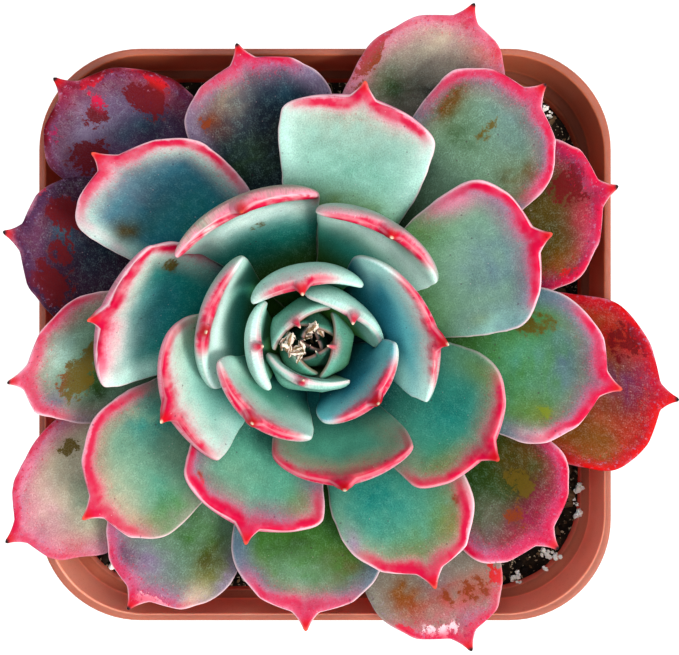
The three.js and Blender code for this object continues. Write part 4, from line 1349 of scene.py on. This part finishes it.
def make_stem():
    heights = np.linspace(STEM_PROFILE[0][0], STEM_PROFILE[-1][0], 90)
    radii = along(STEM_PROFILE, heights)
    around = np.linspace(0, 2 * math.pi, 65)[:-1]
    rings = []
    for z, radius in zip(heights, radii):
        scar = 0.18 * np.sin(z * 2.1 + 2 * around)
        level = np.full(len(around), z)
        rough = 0.12 * noise(np.stack([radius * around, level], -1), 1.6, 3)
        skin = radius - 0.25 + scar * smooth(66, 72, z) + rough
        x, y = PLANT[0] + skin * np.cos(around), PLANT[1] + skin * np.sin(around)
        rings.append(np.stack([x, y, level], -1))
    points, faces = loft(np.array(rings))
    make_piece("stem_bark", points, faces, stem_bark(), replaces=["stem"])


# Leaves and heart


def separate_leaf(index):
    """The measures of a separate leaf, from the table and its age."""
    turn, reach, lift, width, apex, curl, sway, skew, left, right, left_apex, right_apex = LEAVES[index]
    age = index / (len(LEAVES) - 1)
    base_height = HIGHEST_LEAF + (LOWEST_LEAF - HIGHEST_LEAF) * age
    return {
        "azimuth": (FIRST_AZIMUTH + GOLDEN_ANGLE * index + turn) * DEGREE,
        "base": (along(STEM_PROFILE, base_height) - 1, base_height),
        "tip": (reach, POT_HEIGHT + lift),
        "width": width,
        "apex": apex,
        "left": left,
        "right": right,
        "left_apex": left_apex,
        "right_apex": right_apex,
        "curl": curl,
        "sway": sway,
        "skew": skew,
        "thickness": along(THICKNESS_BY_AGE, age),
        "thinning": along(THINNING_BY_AGE, age),
        "cup": along(CUP_BY_AGE, age),
        "seed": 100 + 10 * index,
    }


def heart_leaf(index):
    """The measures of a leaf of the heart; each is smaller and deeper than the last."""
    youth = index / (HEART_LEAVES - 1)
    base_height = HIGHEST_LEAF + 1.6 + 1.4 * youth
    return {
        "azimuth": (FIRST_AZIMUTH - GOLDEN_ANGLE * (index + 1)) * DEGREE,
        "base": (0.9 - 0.6 * youth, base_height),
        "tip": (2.6 - 2.3 * youth, base_height + 8.4 - 4.6 * youth),
        "width": 11.5 - 6.6 * youth,
        "apex": 3.6 - 1.6 * youth,
        "left": 1.0,
        "right": 1.0,
        "left_apex": 3.6 - 1.6 * youth,
        "right_apex": 3.6 - 1.6 * youth,
        "curl": 66 - 26 * youth,
        "sway": 0,
        "skew": 0,
        "thickness": 1.9 - 0.6 * youth,
        "thinning": 0.5,
        "cup": 44,
        "seed": 900 + 10 * index,
    }


def dress_leaf(piece, shapes, looks, ages, reds=PLAIN_REDS):
    """Stores the colours of one or several leaves that make a piece, for its material."""
    values = {}
    for shape, look, age in zip(shapes, looks, ages):
        found = leaf_colours(shape, look, age, *reds)
        flat = np.stack([shape["share"] * shape["length"], shape["across"] * shape["half"]], -1)
        seed = np.full(shape["share"].shape + (1,), 40.0 * shape["seed"] / 10)
        found["cell"] = np.concatenate([flat, seed + found["back"][..., None] * 15], -1)
        for key, value in found.items():
            grid = value.reshape(-1, 3) if value.ndim == 3 else value.reshape(-1)
            ends = [value[0].mean(axis=0), value[-1].mean(axis=0)]
            values.setdefault(key, []).append(np.concatenate([grid, np.array(ends)]))
    for key, blocks in values.items():
        set_values(piece, key, np.concatenate(blocks))


def make_heart(skin):
    """The bud, one piece, built from its middle out. Gives back the search trees of its leaves."""
    younger, shapes, ages = [], [], []
    for index in reversed(range(HEART_LEAVES)):
        shape = build_leaf(heart_leaf(index), 22, 18, 40, 0.02)
        press_down(shape, younger, clearance=0.05, depth=2.0)
        younger.append(leaf_tree(shape))
        shapes.append(shape)
        ages.append(-0.02 - 0.18 * index / (HEART_LEAVES - 1))
    points, faces = joined([loft(shape["rings"], shape["tip"]) for shape in shapes])
    piece = make_piece("heart_leaves", points, faces, skin, replaces=["heart"])
    dress_leaf(piece, shapes, [HEART_LOOK] * HEART_LEAVES, ages)
    return younger


def slot_of(index):
    if index < FIRST_MIDDLE_LEAF:
        return "leaf_young"
    return "leaf_middle" if index < FIRST_OLD_LEAF else "leaf_old"


def make_rosette():
    """All leaves, youngest first, each bent down under those before it."""
    skins = {
        "leaf_young": leaf_skin("young_leaf_skin", 0.03, PAINT["cream"]),
        "leaf_middle": leaf_skin("middle_leaf_skin", 0.09, PAINT["coral"]),
        "leaf_old": leaf_skin("old_leaf_skin", 0.12, PAINT["ink"]),
    }
    younger = make_heart(skins["leaf_young"])
    detail = ((44, 34, 64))
    for index in range(len(LEAVES)):
        leaf = separate_leaf(index)
        reach = np.hypot(*(np.array(leaf["tip"]) - leaf["base"]))
        shape = build_leaf(leaf, *detail, LEAF_START / reach)
        press_down(shape, younger)
        younger.append(leaf_tree(shape))
        slot = slot_of(index)
        name = f"leaf_{index + 1:02d}"
        points, faces = loft(shape["rings"], shape["tip"])
        piece = make_piece(name + "_skin", points, faces, skins[slot], replaces=[name])
        age = index / (len(LEAVES) - 1)
        dress_leaf(piece, [shape], [LOOKS[index]], [age], OTHER_REDS.get(index, PLAIN_REDS))
    return younger


# Dry bracts lying in the heart


# Place, length, width, heading in degrees and steepness of each scrap
DEBRIS = [
    (-5.1, -0.9, 2.6, 1.0, 70, 0.5), (-4.2, -2.1, 2.2, 0.9, 20, 0.7), (-3.2, -1.8, 2.4, 0.7, 110, 0.9),
    (-5.3, -1.9, 1.8, 0.8, 150, 0.4), (-3.5, -3.2, 1.9, 0.6, 60, 0.8), (-1.7, 1.1, 2.1, 1.1, 40, 0.6),
    (-0.6, 0.6, 1.9, 0.8, 120, 0.9), (-2.6, -0.2, 2.3, 0.8, 15, 0.7), (-6.2, -1.3, 1.6, 0.7, 95, 0.3),
    (-1.2, 1.5, 1.6, 0.5, 75, 0.8), (-4.4, -0.4, 1.5, 0.5, 130, 0.9), (-3.8, -2.6, 2.0, 0.5, 5, 0.5),
    (-5.6, -0.5, 1.7, 0.4, 35, 0.6), (-2.0, 0.2, 1.6, 0.4, 95, 0.7), (-4.9, -2.4, 1.5, 0.5, 80, 0.6),
]


def make_debris(younger):
    """Thin curled scraps dropped on the highest leaf under each place."""
    rng = np.random.default_rng(77)
    down = Vector((0, 0, -1))
    parts, middles = [], []
    for number, (x, y, length, width, heading, steepness) in enumerate(DEBRIS):
        hits = [tree.ray_cast(Vector((x, y, 150)), down)[0] for tree, _, _ in younger]
        ground = max(hit.z for hit in hits if hit is not None)
        u, v = np.meshgrid(np.linspace(-1, 1, 15), np.linspace(-1, 1, 7), indexing="ij")
        cell = np.stack([u * 2.4, v * 1.3], -1)
        ragged = 1 + 0.6 * noise(cell + number, 0.5, 500 + number)
        px = u * length * 0.6
        py = v * width * 0.6 * (1 - 0.6 * u**2) * ragged
        pz = 0.5 * width * (1 - v**2) + 0.22 * noise(cell, 0.7, 600 + number)
        sheet = np.stack([px, py, pz], -1)
        pitch, roll = steepness * rng.uniform(0.7, 1.1), rng.uniform(-0.7, 0.7)
        turn = Matrix.Rotation(heading * DEGREE, 3, "Z") @ Matrix.Rotation(-pitch, 3, "Y")
        turn = np.array(turn @ Matrix.Rotation(roll, 3, "X"))
        normal = turn @ np.array([0, 0, 1.0])
        top = sheet @ turn.T
        top += np.array([x, y, ground - top[..., 2].min() - 0.1])
        thin = 0.12 * (1 - 0.6 * np.maximum(np.abs(u), np.abs(v)) ** 4)
        bottom = top - thin[..., None] * normal
        rings = np.concatenate([top, bottom[:, ::-1]], axis=1)
        parts.append(loft(rings[:, ::-1]))
        middle = np.concatenate([np.abs(v), np.abs(v[:, ::-1])], axis=1)[:, ::-1]
        middles.append(np.concatenate([1 - middle.reshape(-1), [0.0, 0.0]]))
    points, faces = joined(parts)
    scraps = make_piece("dry_bracts", points, faces, dry_paper())
    set_values(scraps, "middle", np.concatenate(middles))


# Camera, lights and floor


# The photograph's width and its focal length in pixels, and the camera's place
IMAGE_WIDTH = 679
FOCAL_LENGTH = 1908
CAMERA_PLACE = np.array([2.28, 1.1, 380])
SENSOR_WIDTH = 36


def make_camera():
    """Straight above the pot, looking down."""
    data = bpy.data.cameras.new("camera")
    data.sensor_width = SENSOR_WIDTH
    data.lens = FOCAL_LENGTH * SENSOR_WIDTH / IMAGE_WIDTH
    data.clip_start = 0.01
    camera = bpy.data.objects.new("camera", data)
    camera.location = CAMERA_PLACE * MM
    bpy.context.scene.collection.objects.link(camera)
    bpy.context.scene.camera = camera


def make_light(name, place, size, power, colour):
    """A square soft light that faces the plant."""
    data = bpy.data.lights.new(name, "AREA")
    data.size = size
    data.energy = power
    data.color = colour
    light = bpy.data.objects.new(name, data)
    light.location = place
    aim = Vector((0, 0, 0.08)) - Vector(place)
    light.rotation_euler = aim.to_track_quat("-Z", "Y").to_euler()
    bpy.context.scene.collection.objects.link(light)


def make_floor():
    s = Shader("pale_floor", Specular_IOR_Level=0.2, Emission_Color=(1, 1, 1, 1), Emission_Strength=0.92)
    tint = s.noise(s.place(), 9, 3, 0.5)
    colour = s.mix(s.ramp(tint, 0.3, 0.7), linear((90, 90, 90)), linear((96, 96, 96)))
    material = s.finish(colour, 0.9)
    mesh = bpy.data.meshes.new("floor")
    reach = 3.0
    corners = [(x * reach, y * reach, 0) for x, y in ((-1, -1), (1, -1), (1, 1), (-1, 1))]
    mesh.from_pydata(corners, [], [(0, 1, 2, 3)])
    mesh.materials.append(material)
    floor = bpy.data.objects.new("floor", mesh)
    bpy.context.scene.collection.objects.link(floor)


def make_stage():
    world = bpy.data.worlds.new("studio")
    world.use_nodes = True
    background = world.node_tree.nodes["Background"]
    background.inputs["Color"].default_value = (0.9, 0.95, 1.0, 1)
    background.inputs["Strength"].default_value = 0.52
    bpy.context.scene.world = world
    make_light("key", (0.55, -0.35, 0.85), 0.35, 9.0, (1.0, 0.97, 0.93))
    make_light("overhead", (-0.1, 0.1, 1.2), 0.9, 5.5, (0.97, 0.98, 1.0))
    make_floor()
    bpy.context.scene.view_settings.view_transform = "Standard"
    bpy.context.scene.view_settings.look = "Medium High Contrast"


make_camera()
make_stage()
make_pot()
make_soil()
make_grit()
make_stem()
make_debris(make_rosette())
